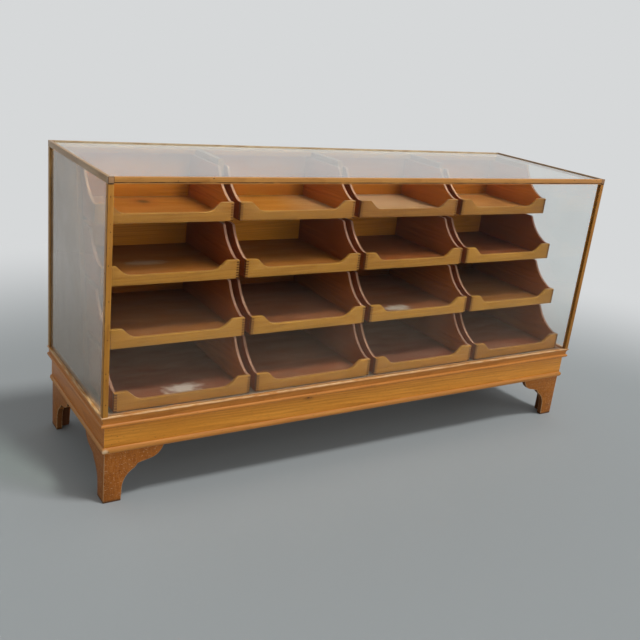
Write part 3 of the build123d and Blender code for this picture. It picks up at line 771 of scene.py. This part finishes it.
# Mouldings of the base. The tree draws a section out and mitres its ends
def mitredMouldingTree():
    tree, given = newTree("mitredMoulding", {
        "Length": "Float", "Start Mitre": "Float", "End Mitre": "Float", "Origin": "Vector",
        "Outward": "Vector", "Along": "Vector", "Finish": "Material",
    })
    solid = drawnSection(tree, given)
    place = addNode(tree, "GeometryNodeInputPosition")
    out, up, run = addNode(tree, "ShaderNodeSeparateXYZ", {0: place}, None).outputs
    share = calc(tree, "DIVIDE", run, given["Length"])
    both = calc(tree, "ADD", given["Start Mitre"], given["End Mitre"])
    slope = calc(tree, "SUBTRACT", calc(tree, "MULTIPLY", share, both), given["Start Mitre"])
    reach = calc(tree, "MULTIPLY_ADD", out, slope, run)
    total = given["Origin"]
    for direction, length in (("Outward", out), ("Along", reach)):
        links = {0: given[direction], "Scale": length}
        part = addNode(tree, "ShaderNodeVectorMath", links, operation="SCALE")
        total = calc(tree, "ADD", total, part, space="Vector")
    total = calc(tree, "ADD", total, addNode(tree, "ShaderNodeCombineXYZ", {"Z": up}), space="Vector")
    placed = addNode(tree, "GeometryNodeSetPosition", {"Geometry": solid, "Position": total})
    return endTree(tree, placed, given["Finish"])


mouldingTree = mitredMouldingTree()
moulding = {
    "cornice": {
        "overhang": 3.0, "edge": 3.0, "coveDepth": 6.0, "coveHeight": 18.0, "coveHollow": 2.2,
        "roll": 11.0, "rollBulge": 6.4, "soffit": 5.0, "lip": 13.3, "step": 0.5,
        "edgeRound": 1.2, "rubbedAndLitBelowTop": 4.0,
    },
    "bead": {"height": 18.0, "proud": 6.0, "flat": 1.5},
    "rubbedWidth": 1.9,        # faces narrower than this belong to a rounded arris
    "shelfDrop": 3.0,
}


def corniceSection():
    size = moulding["cornice"]
    out, inner = size["overhang"], -(counter["friezeInset"] + counter["friezeBoard"])
    rollX, soffitX = out - size["coveDepth"], size["soffit"] - counter["friezeInset"]
    rollTop, coveTop = friezeTop + size["roll"], baseTop - size["edge"]
    near, far = -counter["paneInset"], -counter["paneInset"] - counter["grooveWidth"]
    groove, radius = baseTop - counter["grooveDepth"], size["edgeRound"]
    return (
        [(inner, friezeTop)]
        + bulged((soffitX, friezeTop), (rollX, rollTop), size["rollBulge"], 12)
        + [(rollX, rollTop)]
        + bulged((rollX, coveTop - size["coveHeight"]), (out, coveTop), -size["coveHollow"], 8)
        + [(out, coveTop + size["step"]), (out, baseTop - radius)]
        + rounded((out, coveTop), (out, baseTop), (near, baseTop), radius, 3)[1:]
        + [(near, baseTop), (near, groove), (far, groove), (far, baseTop)]
        + [(-size["lip"], baseTop), (-size["lip"], floorTop), (inner, floorTop)]
    )


def beadSection():
    size = moulding["bead"]
    face = -counter["friezeInset"]
    low, high = (face + size["flat"], friezeLow), (face + size["flat"], friezeLow + size["height"])
    return [(face, friezeLow)] + bulged(low, high, size["proud"] - size["flat"]) + [high, (face, high[1])]


def addMouldings(bm, section, backY, rubbedAndLitAbove, finish):
    depth = backY - caseFront
    runs = (
        ((caseX, caseFront, 0), (0, -1, 0), (-1, 0, 0), 2 * caseX, 1, 1, "x"),
        ((-caseX, caseFront, 0), (-1, 0, 0), (0, 1, 0), depth, 1, 0, "y"),
        ((caseX, backY, 0), (1, 0, 0), (0, -1, 0), depth, 0, 1, "y"),
    )
    curve = sectionCurve(section)
    for origin, outward, along, length, startMitre, endMitre, grain in runs:
        mesh = growMesh(mouldingTree, curve, {
            "Length": float(length), "Start Mitre": float(startMitre), "End Mitre": float(endMitre),
            "Origin": origin, "Outward": outward, "Along": along, "Finish": finish,
        })
        known = len(bm.faces)
        bm.from_mesh(mesh)
        bm.faces.ensure_lookup_table()
        fresh = bm.faces[known:]
        bmesh.ops.recalc_face_normals(bm, faces=fresh)
        # the narrow strips of the rounded top arris are pale: rubbed wear and painted highlight
        strips = [f for f in fresh if len(f.verts) == 4 and f.calc_area() / length < moulding["rubbedWidth"]]
        stampBoard(bm, grain, worn=[f for f in strips if f.calc_center_median().z > rubbedAndLitAbove])
        for f in fresh:        # dust on the shelf inside the glass; outside it a pale line, rubbed wear and painted highlight
            middle = f.calc_center_median()
            if f.normal.z > board["upward"] and middle.z > rubbedAndLitAbove - moulding["shelfDrop"]:
                inside = (middle - Vector(origin)).dot(Vector(outward)) < -counter["paneInset"]
                f[bm.faces.layers.float["dustLie" if inside else "wearGrimeAndShading"]] = 1.0


bm = newPiece()
rubbedAndLitAbove = baseTop - moulding["cornice"]["rubbedAndLitBelowTop"]
addMouldings(bm, corniceSection(), caseBack, rubbedAndLitAbove, lacqueredOakCornice)
finishPiece(bm, "cornice", [lacqueredOakCornice], "case", "cornice_moulding")

bm = newPiece()        # nothing lies above the case, so the bead has no rubbed, highlighted line
addMouldings(bm, beadSection(), caseBack - counter["friezeInset"], caseTop, lacqueredOakBead)
finishPiece(bm, "lower_bead", [lacqueredOakBead], "case", "base_bead")

# Frieze boards, mitred at the front
frieze = {"arris": 0.3, "sideTone": -0.5, "sillArris": 0.8}
friezeX = caseX - counter["friezeInset"]
innerX = friezeX - counter["friezeBoard"]
friezeFront, friezeBack = caseFront + counter["friezeInset"], caseBack - counter["friezeInset"]
innerFront, innerBack = friezeFront + counter["friezeBoard"], friezeBack - counter["friezeBoard"]
flat = {"origin": (0, 0, friezeLow), "u": axes["x"], "v": axes["y"], "depth": friezeTop - friezeLow}
bm = newPiece()
frontBoard = [(-friezeX, friezeFront), (friezeX, friezeFront), (innerX, innerFront), (-innerX, innerFront)]
addBoard(bm, frontBoard, **flat, grain="x", edge=frieze["arris"])
sideBoard = [(friezeX, friezeFront), (friezeX, friezeBack), (innerX, friezeBack), (innerX, innerFront)]
for side in (-1, 1):
    outline = [(side * x, y) for x, y in sideBoard][::side]
    addBoard(bm, outline, **flat, grain="y", edge=frieze["arris"], tone=frieze["sideTone"])
addBox(bm, (-innerX, innerBack, friezeLow), (innerX, friezeBack, friezeTop), "x")
finishPiece(bm, "frieze_boards", [lacqueredOakBase], "case", "base_frieze")

bm = newPiece()
addBox(bm, *cadBox("back_sill"), "x", edge=frieze["sillArris"])
finishPiece(bm, "sill_back", [lacqueredOakBase], "case", "back_sill")
print("base ready")

# Bracket feet: two brackets, mitred, with a glue block behind them
bracket = {
    "width": 52, "reach": 176, "ankle": (54, 40), "hollow": (90, 99), "shoulder": (100, 112),
    "toe": (142, 122), "ankleBulge": -9, "toeBulge": 6.5, "arris": 1.5, "tones": (0.8, -0.6),
    "block": 25, "blockLift": 8, "blockRise": 32, "blockArris": 0.8, "blockTone": -4.0,
}
bracketOutline = (
    [(0, 0), (bracket["width"], 0)]
    + bulged(bracket["ankle"], bracket["hollow"], bracket["ankleBulge"], 12)
    + [bracket["hollow"], bracket["shoulder"]]
    + bulged(bracket["toe"], (bracket["reach"], friezeLow), bracket["toeBulge"], 8)
    + [(bracket["reach"], friezeLow), (0, friezeLow)]
)
footBoard = counter["friezeInset"] + counter["friezeBoard"] - counter["footInset"]


def addBracket(bm, corner, along, inward, grain, tone):
    # the board's outer face starts at the corner, its inner face a board's thickness further in
    near, far = [], []
    for a, b in bracketOutline:
        near.append(bm.verts.new(corner + along * a + axes["z"] * b))
        far.append(bm.verts.new(corner + along * max(a, footBoard) + inward * footBoard + axes["z"] * b))
    faces = closeBoard(bm, near, far)
    worn = bevelBoard(        # all but the upper edges, which meet the frieze
        bm, faces, bracket["arris"], lambda e: abs(e.verts[0].co.z + e.verts[1].co.z) < 2 * friezeLow - 1
    )
    stampBoard(bm, grain, tone, worn)


for sideName, side in sides:
    for endName, endY, inward in ends:
        bm = newPiece()
        corner = Vector((side * (caseX - counter["footInset"]), endY + inward * counter["footInset"], 0))
        sideways, deeper = Vector((-side, 0, 0)), Vector((0, inward, 0))
        frontTone, sideTone = bracket["tones"]
        addBracket(bm, corner, sideways, deeper, "x", frontTone * side)
        addBracket(bm, corner, deeper, sideways, "y", sideTone)
        low = corner + (sideways + deeper) * footBoard + axes["z"] * bracket["blockLift"]
        high = low + (sideways + deeper) * bracket["block"] + axes["z"] * (friezeLow + bracket["blockRise"])
        addBox(
            bm, [min(p) for p in zip(low, high)], [max(p) for p in zip(low, high)], "z",
            edge=bracket["blockArris"], tone=bracket["blockTone"], slot=1,
        )
        name = f"{endName}_{sideName}"
        woods = [stainedOakFeet, stainedDealCarcass]
        finishPiece(bm, f"bracket_foot_{name}", woods, "case", f"foot_{name}")
print("feet ready")

# Drawers
drawer = {
    "front": 11.0, "side": 8.5, "back": 14.0, "lap": 7.0, "slack": 0.1, "fingers": 14,
    "ear": 57.0, "earWidth": 40.0, "lip": 28.0, "slope": 32.0, "earRound": 8.0, "lipRound": 40.0,
    "scoopStart": 22.0, "scoopLength": 90.0, "scoopBulge": 12.6, "browRound": 12.0,
    "bottomLift": 3.5, "bottom": 5.0, "shadowGap": 3.0, "arris": 0.35, "rimWearAndHighlight": 1.0,
    "dustStep": 0.06, "combGrime": 1.6, "outerShade": -1.5, "margin": 0.5, "combMargin": 0.6,
    # fronts are darker or paler than their neighbours row by row; sides, backs and bottoms are painted
    # lighter or darker row by row, painted light and shade; backs on their inner faces only
    "frontTones": (-1.3, 0.9, 0.8, -0.4), "sidePaintedShading": (2.4, 0.0, 0.0, 0.0),
    "backPaintedShading": (0.0, 2.4, -2.6, -1.0),
    "bottomPaintedShading": (
        (0.2, 1.7, 0.9, 1.3), (0.0, 0.3, 0.0, -0.3), (0.0, -0.3, 0.0, 0.5), (-1.3, -1.5, -1.2, -0.8),
    ),
}
drawerWoods = [lacqueredOakFronts, oiledMahoganySides, planedOakBacks, lacqueredPlyBottoms]
fingerStep = drawer["ear"] / drawer["fingers"]
places = [(row, column) for row in range(1, 5) for column in range(1, 5)]


def drawerFrontOutline(half):
    ear = half - drawer["earWidth"]
    lip = ear - drawer["slope"]
    inner = half - drawer["side"] - drawer["slack"]
    right = []
    for i in range(drawer["fingers"]):        # the lowest finger belongs to the side
        x = inner if i % 2 == 0 else half
        right += [(x, i * fingerStep), (x, (i + 1) * fingerStep)]
    brow, dip = (drawer["ear"], drawer["earRound"]), (drawer["lip"], drawer["lipRound"])
    top = [(ear, *brow), (lip, *dip), (-lip, *dip), (-ear, *brow)]
    return outlineOf(right + top + [(-x, y) for x, y in right[::-1]])


def drawerSideOutline(length, height):
    notch = drawer["front"] + drawer["slack"]
    scoopEnd = drawer["scoopStart"] + drawer["scoopLength"]
    scoop = bulged((drawer["scoopStart"], drawer["ear"]), (scoopEnd, height), drawer["scoopBulge"], 12)
    comb = []
    for i in range(drawer["fingers"] - 1, -1, -1):
        y = 0 if i % 2 == 0 else notch
        comb += [(y, (i + 1) * fingerStep), (y, i * fingerStep)]
    back = [(length, 0), (length, height), (scoopEnd, height, drawer["browRound"])]
    return outlineOf(back + scoop[::-1] + comb)


def makeDrawer(row, column):
    name = f"drawer_r{row}c{column}"
    low, high = cadBox(f"{name}_box")
    middle, half = (low.x + high.x) / 2, (high.x - low.x) / 2
    height = high.z - low.z
    backInner = high.y - drawer["back"]
    inside = half - drawer["side"]
    bm = newPiece()
    addBoard(
        bm, drawerFrontOutline(half), (middle, low.y + drawer["front"], low.z), axes["x"], axes["z"],
        drawer["front"], "x", edge=drawer["arris"], tone=drawer["frontTones"][row - 1],
    )
    sideOutline = drawerSideOutline(backInner + drawer["lap"] - low.y, height)
    # the rims of the sides are pale: rubbed wear and painted highlight
    for x in (low.x, high.x - drawer["side"]):
        addBoard(
            bm, sideOutline, (x, low.y, low.z), axes["y"], axes["z"], drawer["side"], "y",
            edge=drawer["arris"], tone=drawer["sidePaintedShading"][row - 1], rimWearAndHighlight=drawer["rimWearAndHighlight"],
            rimAbove=low.z + drawer["ear"] - drawer["margin"], slot=1,
        )
    lap = backInner + drawer["lap"] + drawer["slack"]
    near = inside - drawer["slack"]
    rightHalf = [(near, backInner), (near, lap), (half, lap), (half, high.y)]
    backOutline = [(-near, backInner)] + rightHalf + [(-half, high.y), (-half, lap), (-near, lap)]
    addBoard(
        bm, backOutline, (middle, 0, low.z), axes["x"], axes["y"], height, "x", edge=drawer["arris"], slot=2,
    )
    plate = low.z + drawer["bottomLift"]
    addBox(
        bm, (middle - inside, low.y + drawer["front"], plate),
        (middle + inside, backInner - drawer["shadowGap"], plate + drawer["bottom"]), "x", edge=0, slot=3,
        tone=drawer["bottomPaintedShading"][row - 1][column - 1], dust=drawer["dustStep"] * row,
    )
    pieceName = f"{name}_boards"
    finishPiece(bm, pieceName, drawerWoods, name, f"{name}_box")
    paintFaces(
        pieceName, "boardTone", drawer["backPaintedShading"][row - 1] + drift(1),
        lambda c, n: abs(c.y - backInner) < drawer["margin"] and n.y < -0.9,
    )
    combX = half - drawer["side"] - drawer["combMargin"]
    combY = low.y + drawer["front"] + drawer["combMargin"]
    combTop = low.z + drawer["ear"] - drawer["margin"]
    paintFaces(        # painted shade: the sides are darker outside, in the gaps between the columns
        pieceName, "boardTone", drawer["outerShade"],
        lambda c, n: c.y > combY and abs(abs(c.x - middle) - half) < 0.1
        and n.x * (c.x - middle) > 0.9 * half,
    )
    paintFaces(        # dark lines round the fingers of the comb joints
        pieceName, "wearGrimeAndShading", -drawer["combGrime"],
        lambda c, n: c.y < combY and c.z < combTop and abs(c.x - middle) > combX
        and max(abs(part) for part in n) < 0.97,
    )


for row, column in places:
    makeDrawer(row, column)
print("drawers ready")

# Panes stay as packed, in new glass
panes = {
    "front": {"tint": "#fafcfb", "film": 0.03, "ior": 1.12, "clearAbove": 0.62},        # faintly reflecting
    # a heavy film: dust, and a painted reflection of a pale room
    "left": {"tint": "#f7faf5", "film": 0.20, "ior": 1.6},
    "right": {"tint": "#f7fafa", "film": 0.05, "ior": 1.5},
    "top": {"tint": "#f4f9f7", "film": 0.05, "ior": 1.52},
}
for name, look in panes.items():
    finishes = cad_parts[f"glass_{name}"].data.materials
    finishes.clear()
    finishes.append(glassMaterial(f"drawnGlass{name.capitalize()}", look))

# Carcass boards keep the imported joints
for pieceName, material, node in (
    ("carcass_left", sandedDealPanels, "side_panel_left"),
    ("carcass_right", sandedDealPanels, "side_panel_right"),
    ("carcass_partitions", sandedDealPanels, "partitions"),
    ("carcass_rear_rails", lacqueredOakRails, "rear_rails"),
    ("drawer_runners", stainedDealCarcass, "runners"),
    ("stop_blocks", stainedDealCarcass, "drawer_stops"),
    ("bearers", stainedDealCarcass, "floor_bearers"),
):
    bm = newPiece()
    addPackedBoards(bm, node)
    finishPiece(bm, pieceName, [material], "case", node)


# Floor boards, laid side by side along the counter
def floorBoardTree():
    tree, given = newTree("floorBoards", {
        "Boards": "Int", "Pitch": "Float", "Length": "Float", "Start": "Vector", "Finish": "Material",
    })
    # section x runs backwards, section y up, so the drawn length points along the counter
    turn = {"Geometry": drawnSection(tree, given), "Rotation": (math.pi / 2, 0, math.pi / 2)}
    turned = addNode(tree, "GeometryNodeTransform", turn)
    step = addNode(tree, "ShaderNodeCombineXYZ", {"Y": given["Pitch"]})
    row = {"Count": given["Boards"], "Start Location": given["Start"], "Offset": step}
    line = addNode(tree, "GeometryNodeMeshLine", row)
    laid = addNode(tree, "GeometryNodeInstanceOnPoints", {"Points": line, "Instance": turned})
    return endTree(tree, laid, given["Finish"])


flooring = {"boards": 5, "gap": 0.8, "chamfer": 0.8}
floorLow, floorHigh = cadBox("case_floor")
pitch = (floorHigh.y - floorLow.y) / flooring["boards"]
wide, thick, cutOff = pitch - flooring["gap"], floorHigh.z - floorLow.z, flooring["chamfer"]
boardSection = [
    (0, 0), (wide, 0), (wide, thick - cutOff), (wide - cutOff, thick), (cutOff, thick), (0, thick - cutOff),
]
boards = growMesh(floorBoardTree(), sectionCurve(boardSection), {
    "Boards": flooring["boards"], "Pitch": pitch, "Length": floorHigh.x - floorLow.x,
    "Start": (floorLow.x, floorLow.y + flooring["gap"] / 2, floorLow.z), "Finish": dustyShadowedDealFloor,
})
bm = newPiece()
bm.from_mesh(boards)
bmesh.ops.recalc_face_normals(bm, faces=bm.faces)
stamped = bm.faces.layers.int["stamped"]
allFaces = list(bm.faces)
for f in allFaces:
    f[stamped] = 1
for i in range(flooring["boards"]):        # each board is stamped on its own, for its own figure
    middle = floorLow.y + (i + 0.5) * pitch
    for f in allFaces:
        if abs(f.calc_center_median().y - middle) < pitch / 2:
            f[stamped] = 0
    stampBoard(bm, "x", dust=1.0)
finishPiece(bm, "floor_boards", [dustyShadowedDealFloor], "case", "case_floor")
print("carcass ready")

# Knobs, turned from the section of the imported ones
knob = {
    "radius": 17.0, "rimHeight": 17.0, "rimBulge": 1.5, "rimRound": 0.9, "throat": 11.0, "neck": 8.0,
    "neckHollow": 2.5, "foot": 10.0, "projection": 26.0, "sink": 1.0, "segments": 40, "ring": 9.0,
    "ringWidth": 1.4, "ringDepth": 0.5, "crownSteps": 12,
}


def knobSection():
    rim, throat = (knob["radius"], knob["rimHeight"]), (knob["throat"], knob["neck"])
    line = [(0.0, -knob["sink"]), (knob["foot"], -knob["sink"]), (knob["foot"], 0.0)]
    line += bulged((knob["foot"], 0.0), throat, -knob["neckHollow"], 7)[1:]
    line += bulged(throat, rim, knob["rimBulge"], 6)
    crownHeight = knob["projection"] - knob["rimHeight"]
    bigRadius = (knob["radius"] ** 2 + crownHeight ** 2) / (2 * crownHeight)
    start = math.asin(knob["radius"] / bigRadius)
    for i in range(knob["crownSteps"] + 1):
        angle = start * (1 - i / knob["crownSteps"])
        x = bigRadius * math.sin(angle)
        groove = knob["ringDepth"] * max(0.0, 1 - abs(x - knob["ring"]) / knob["ringWidth"])
        line.append((x, knob["projection"] - bigRadius + bigRadius * math.cos(angle) - groove))
    edge = line.index(min(line, key=lambda q: (q[0] - rim[0]) ** 2 + (q[1] - rim[1]) ** 2))
    return line[:edge] + rounded(*line[edge - 1:edge + 2], knob["rimRound"], 4) + line[edge + 1:]


def turnedKnobTree():
    tree, given = newTree("turnedKnob", {"Segments": "Int", "Place": "Vector", "Finish": "Material"})
    ring = addNode(tree, "GeometryNodeCurvePrimitiveCircle", {"Resolution": given["Segments"], "Radius": 1.0})
    turned = addNode(tree, "GeometryNodeCurveToMesh", {"Curve": ring, "Profile Curve": given["Geometry"]})
    closed = addNode(tree, "GeometryNodeMergeByDistance", {"Geometry": turned, "Distance": 0.001})
    facing = {"Geometry": closed, "Rotation": (-math.pi / 2, 0, 0), "Translation": given["Place"]}
    return endTree(tree, addNode(tree, "GeometryNodeTransform", facing), given["Finish"])


knobTree = turnedKnobTree()
# the section is swept round a circle of radius 1, so it starts 1 further in
knobCurve = sectionCurve([(x - 1.0, -y) for x, y in knobSection()], closed=False)
for row, column in places:
    name = f"drawer_r{row}c{column}"
    low, high = cadBox(f"{name}_knob")
    place = ((low.x + high.x) / 2, high.y - knob["projection"], (low.z + high.z) / 2)
    bm = newPiece()
    bm.from_mesh(growMesh(knobTree, knobCurve, {
        "Segments": knob["segments"], "Place": place, "Finish": polishedBeechKnobs,
    }))
    bmesh.ops.recalc_face_normals(bm, faces=bm.faces)
    stampBoard(bm, "y")
    finishPiece(bm, f"{name}_turned_knob", [polishedBeechKnobs], name, f"{name}_knob")
print("knobs ready")


# Screws through the rails of the shopkeeper's side, and pins in the frame
def slottedScrewTree():
    tree, given = newTree("slottedScrews", {
        "Radius": "Float", "Thick": "Float", "Slot": "Float", "Slot Depth": "Float", "Sides": "Int",
        "Seed": "Int", "Finish": "Material",
    })
    disc = {"Vertices": given["Sides"], "Radius": given["Radius"], "Depth": given["Thick"]}
    length = calc(tree, "MULTIPLY", given["Radius"], 3.0)
    depth = calc(tree, "MULTIPLY", given["Slot Depth"], 2.0)
    barSize = addNode(tree, "ShaderNodeCombineXYZ", {"X": length, "Y": given["Slot"], "Z": depth})
    bar = addNode(tree, "GeometryNodeMeshCube", {"Size": barSize})
    lift = addNode(tree, "ShaderNodeCombineXYZ", {"Z": calc(tree, "MULTIPLY", given["Thick"], 0.5)})
    head = addNode(tree, "GeometryNodeMeshBoolean", {
        "Mesh 1": addNode(tree, "GeometryNodeMeshCylinder", disc),
        "Mesh 2": addNode(tree, "GeometryNodeTransform", {"Geometry": bar, "Translation": lift}),
    }, operation="DIFFERENCE")
    angle = addNode(
        tree, "FunctionNodeRandomValue", {3: math.pi, "Seed": given["Seed"]}, 1, data_type="FLOAT",
    )
    spin = addNode(tree, "ShaderNodeCombineXYZ", {"Z": angle})
    driven = {"Points": given["Geometry"], "Instance": head, "Rotation": spin}
    return endTree(tree, addNode(tree, "GeometryNodeInstanceOnPoints", driven), given["Finish"])


def pinHeadTree():
    tree, given = newTree("pinHeads", {
        "Radius": "Float", "Flat": "Float", "Sides": "Int", "Rings": "Int", "Finish": "Material",
    })
    shape = {"Segments": given["Sides"], "Rings": given["Rings"], "Radius": given["Radius"]}
    ball = addNode(tree, "GeometryNodeMeshUVSphere", shape)
    squash = addNode(tree, "ShaderNodeCombineXYZ", {"X": 1.0, "Y": 1.0, "Z": given["Flat"]})
    dome = addNode(tree, "GeometryNodeTransform", {"Geometry": ball, "Scale": squash})
    driven = addNode(tree, "GeometryNodeInstanceOnPoints", {"Points": given["Geometry"], "Instance": dome})
    return endTree(tree, driven, given["Finish"])


def addFixings(bm, tree, points, facing, values):        # points in mm, heads face outwards
    turn = axes["z"].rotation_difference(Vector(facing)).to_matrix().to_4x4()
    back = turn.inverted()
    cloud = bpy.data.meshes.new("points")
    cloud.from_pydata([back @ Vector(point) for point in points], [], [])
    mesh = growMesh(tree, cloud, {**values, "Finish": blackenedSteelPins})
    mesh.transform(turn)
    bm.from_mesh(mesh)


def finishSteel(bm, name):
    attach(makeObject(bm, name, [blackenedSteelPins], 40), "case")


screw = {
    "inset": 12, "below": 10.3, "proud": 0.15,
    "head": {"Radius": 3.6, "Thick": 1.6, "Slot": 0.9, "Slot Depth": 0.8, "Sides": 20, "Seed": 7},
}
screwY = cadBox("rear_rails")[1].y - screw["head"]["Thick"] / 2 + screw["proud"]
screwPoints = []
for row, column in places[4:]:        # a rail lies above each row but the first
    underside = cadBox(f"drawer_r{row - 1}c1_box")[0].z
    low, high = cadBox(f"drawer_r{row}c{column}_box")
    for x in (low.x + screw["inset"], high.x - screw["inset"]):
        screwPoints.append((x, screwY, underside - screw["below"]))
bm = bmesh.new()
addFixings(bm, slottedScrewTree(), screwPoints, axes["y"], screw["head"])
finishSteel(bm, "rail_screws")

# Pins down the corner posts, none quite in line
pin = {
    "count": 7, "fromEnd": 26, "fromEdge": 8, "aside": 3, "sideAside": 2, "updown": 14,
    "head": {"Radius": 1.5, "Flat": 0.35, "Sides": 10, "Rings": 5},
}
pinTree = pinHeadTree()
postMiddle = caseX - counter["post"] / 2
pinStep = (railLow - baseTop - 2 * pin["fromEnd"]) / (pin["count"] - 1)
heights = [baseTop + pin["fromEnd"] + i * pinStep for i in range(pin["count"])]
bm = bmesh.new()
for side in (-1, 1):
    for endName, endY, inward in ends:
        points = []
        for z in heights:
            points.append((side * (postMiddle + drift(pin["aside"])), endY, z + drift(pin["updown"])))
        addFixings(bm, pinTree, points, (0, -inward, 0), pin["head"])
    points = []
    for y in (caseFront + pin["fromEdge"], caseBack - pin["fromEdge"]):
        for z in heights:
            points.append((side * caseX, y + drift(pin["sideAside"]), z + drift(pin["updown"])))
    addFixings(bm, pinTree, points, (side, 0, 0), pin["head"])
finishSteel(bm, "frame_pins")
print("fixings ready")

# Studio: a pale floor that melts into the background
studio = {
    "floor": "#a0a5a6", "backdrop": "#d6d8d9", "centre": (-0.3, -1.1, 0.0), "fade": (1.9, 3.6),
    "ambient": 0.5, "radius": 14.0,
    "key": {"from": (0.26, -0.27, 0.92), "angle": 10.0, "strength": 1.45},
    "fill": {"from": (0.45, -0.84, 0.26), "angle": 60.0, "strength": 0.8},
}


def seenByEye(tree):        # 1 for what the camera sees, straight, mirrored or through glass
    path = addNode(tree, "ShaderNodeLightPath", out=None).outputs
    first = calc(tree, "ADD", path["Is Camera Ray"], path["Is Glossy Ray"])
    return calc(tree, "ADD", first, path["Is Transmission Ray"], use_clamp=True)


floorMaterial, tree = newMaterial("paintedFloor")
place = addNode(tree, "ShaderNodeTexCoord", out="Object")
distance = calc(tree, "DISTANCE", place, studio["centre"], space="Vector", out="Value")
nearFade, farFade = studio["fade"]
fade = {"Value": distance, "From Min": nearFade, "From Max": farFade}
away = addNode(tree, "ShaderNodeMapRange", fade, interpolation_type="SMOOTHSTEP")
share = calc(tree, "MULTIPLY", away, seenByEye(tree))
paint = addNode(tree, "ShaderNodeBsdfPrincipled", {"Base Color": srgb(studio["floor"]), "Roughness": 0.7})
glow = addNode(tree, "ShaderNodeEmission", {"Color": srgb(studio["backdrop"]), "Strength": 1.0})
surface = addNode(tree, "ShaderNodeMixShader", {0: share, 1: paint, 2: glow})
addNode(tree, "ShaderNodeOutputMaterial", {"Surface": surface}, None)
bm = bmesh.new()
bmesh.ops.create_circle(bm, cap_ends=True, radius=studio["radius"], segments=64)
floorMesh = bpy.data.meshes.new("studio_floor")
bm.to_mesh(floorMesh)
bm.free()
floorMesh.materials.append(floorMaterial)
addObject("studio_floor", floorMesh)

world = bpy.data.worlds.new("studioWorld")
bpy.context.scene.world = world
world.use_nodes = True
tree = world.node_tree
tree.nodes.clear()
backdrop = srgb(studio["backdrop"])
dim = addNode(tree, "ShaderNodeBackground", {"Color": backdrop, "Strength": studio["ambient"]})
bright = addNode(tree, "ShaderNodeBackground", {"Color": backdrop, "Strength": 1.0})
surface = addNode(tree, "ShaderNodeMixShader", {0: seenByEye(tree), 1: dim, 2: bright})
addNode(tree, "ShaderNodeOutputWorld", {"Surface": surface}, None)

for name in ("key", "fill"):        # large lamps far off, so that the floor is lit evenly
    lamp = studio[name]
    light = bpy.data.lights.new(name, "SUN")
    light.angle = math.radians(lamp["angle"])
    light.energy = lamp["strength"]
    holder = addObject(name, light)
    holder.visible_glossy = name == "key"        # the wide lamp has no mirror image in the glass
    holder.rotation_euler = Vector(lamp["from"]).to_track_quat("Z", "Y").to_euler()

# Camera, found by fitting the case, its feet and its drawers to the photograph
shot = {
    "place": (-1.5744, -2.2760, 1.3243), "forward": (0.5255, 0.7858, -0.3260), "up": (0.0853, 0.3326, 0.9392),
    "lens": 46.69, "sensor": 36.0,
}
cameraData = bpy.data.cameras.new("camera")
cameraData.lens = shot["lens"]
cameraData.sensor_width = shot["sensor"]
camera = addObject("camera", cameraData)
forward, up = Vector(shot["forward"]), Vector(shot["up"])
turn = Matrix((forward.cross(up), up, -forward)).transposed().to_4x4()
camera.matrix_world = Matrix.Translation(shot["place"]) @ turn
bpy.context.scene.camera = camera
bpy.context.scene.view_settings.view_transform = "Standard"
print("studio ready")
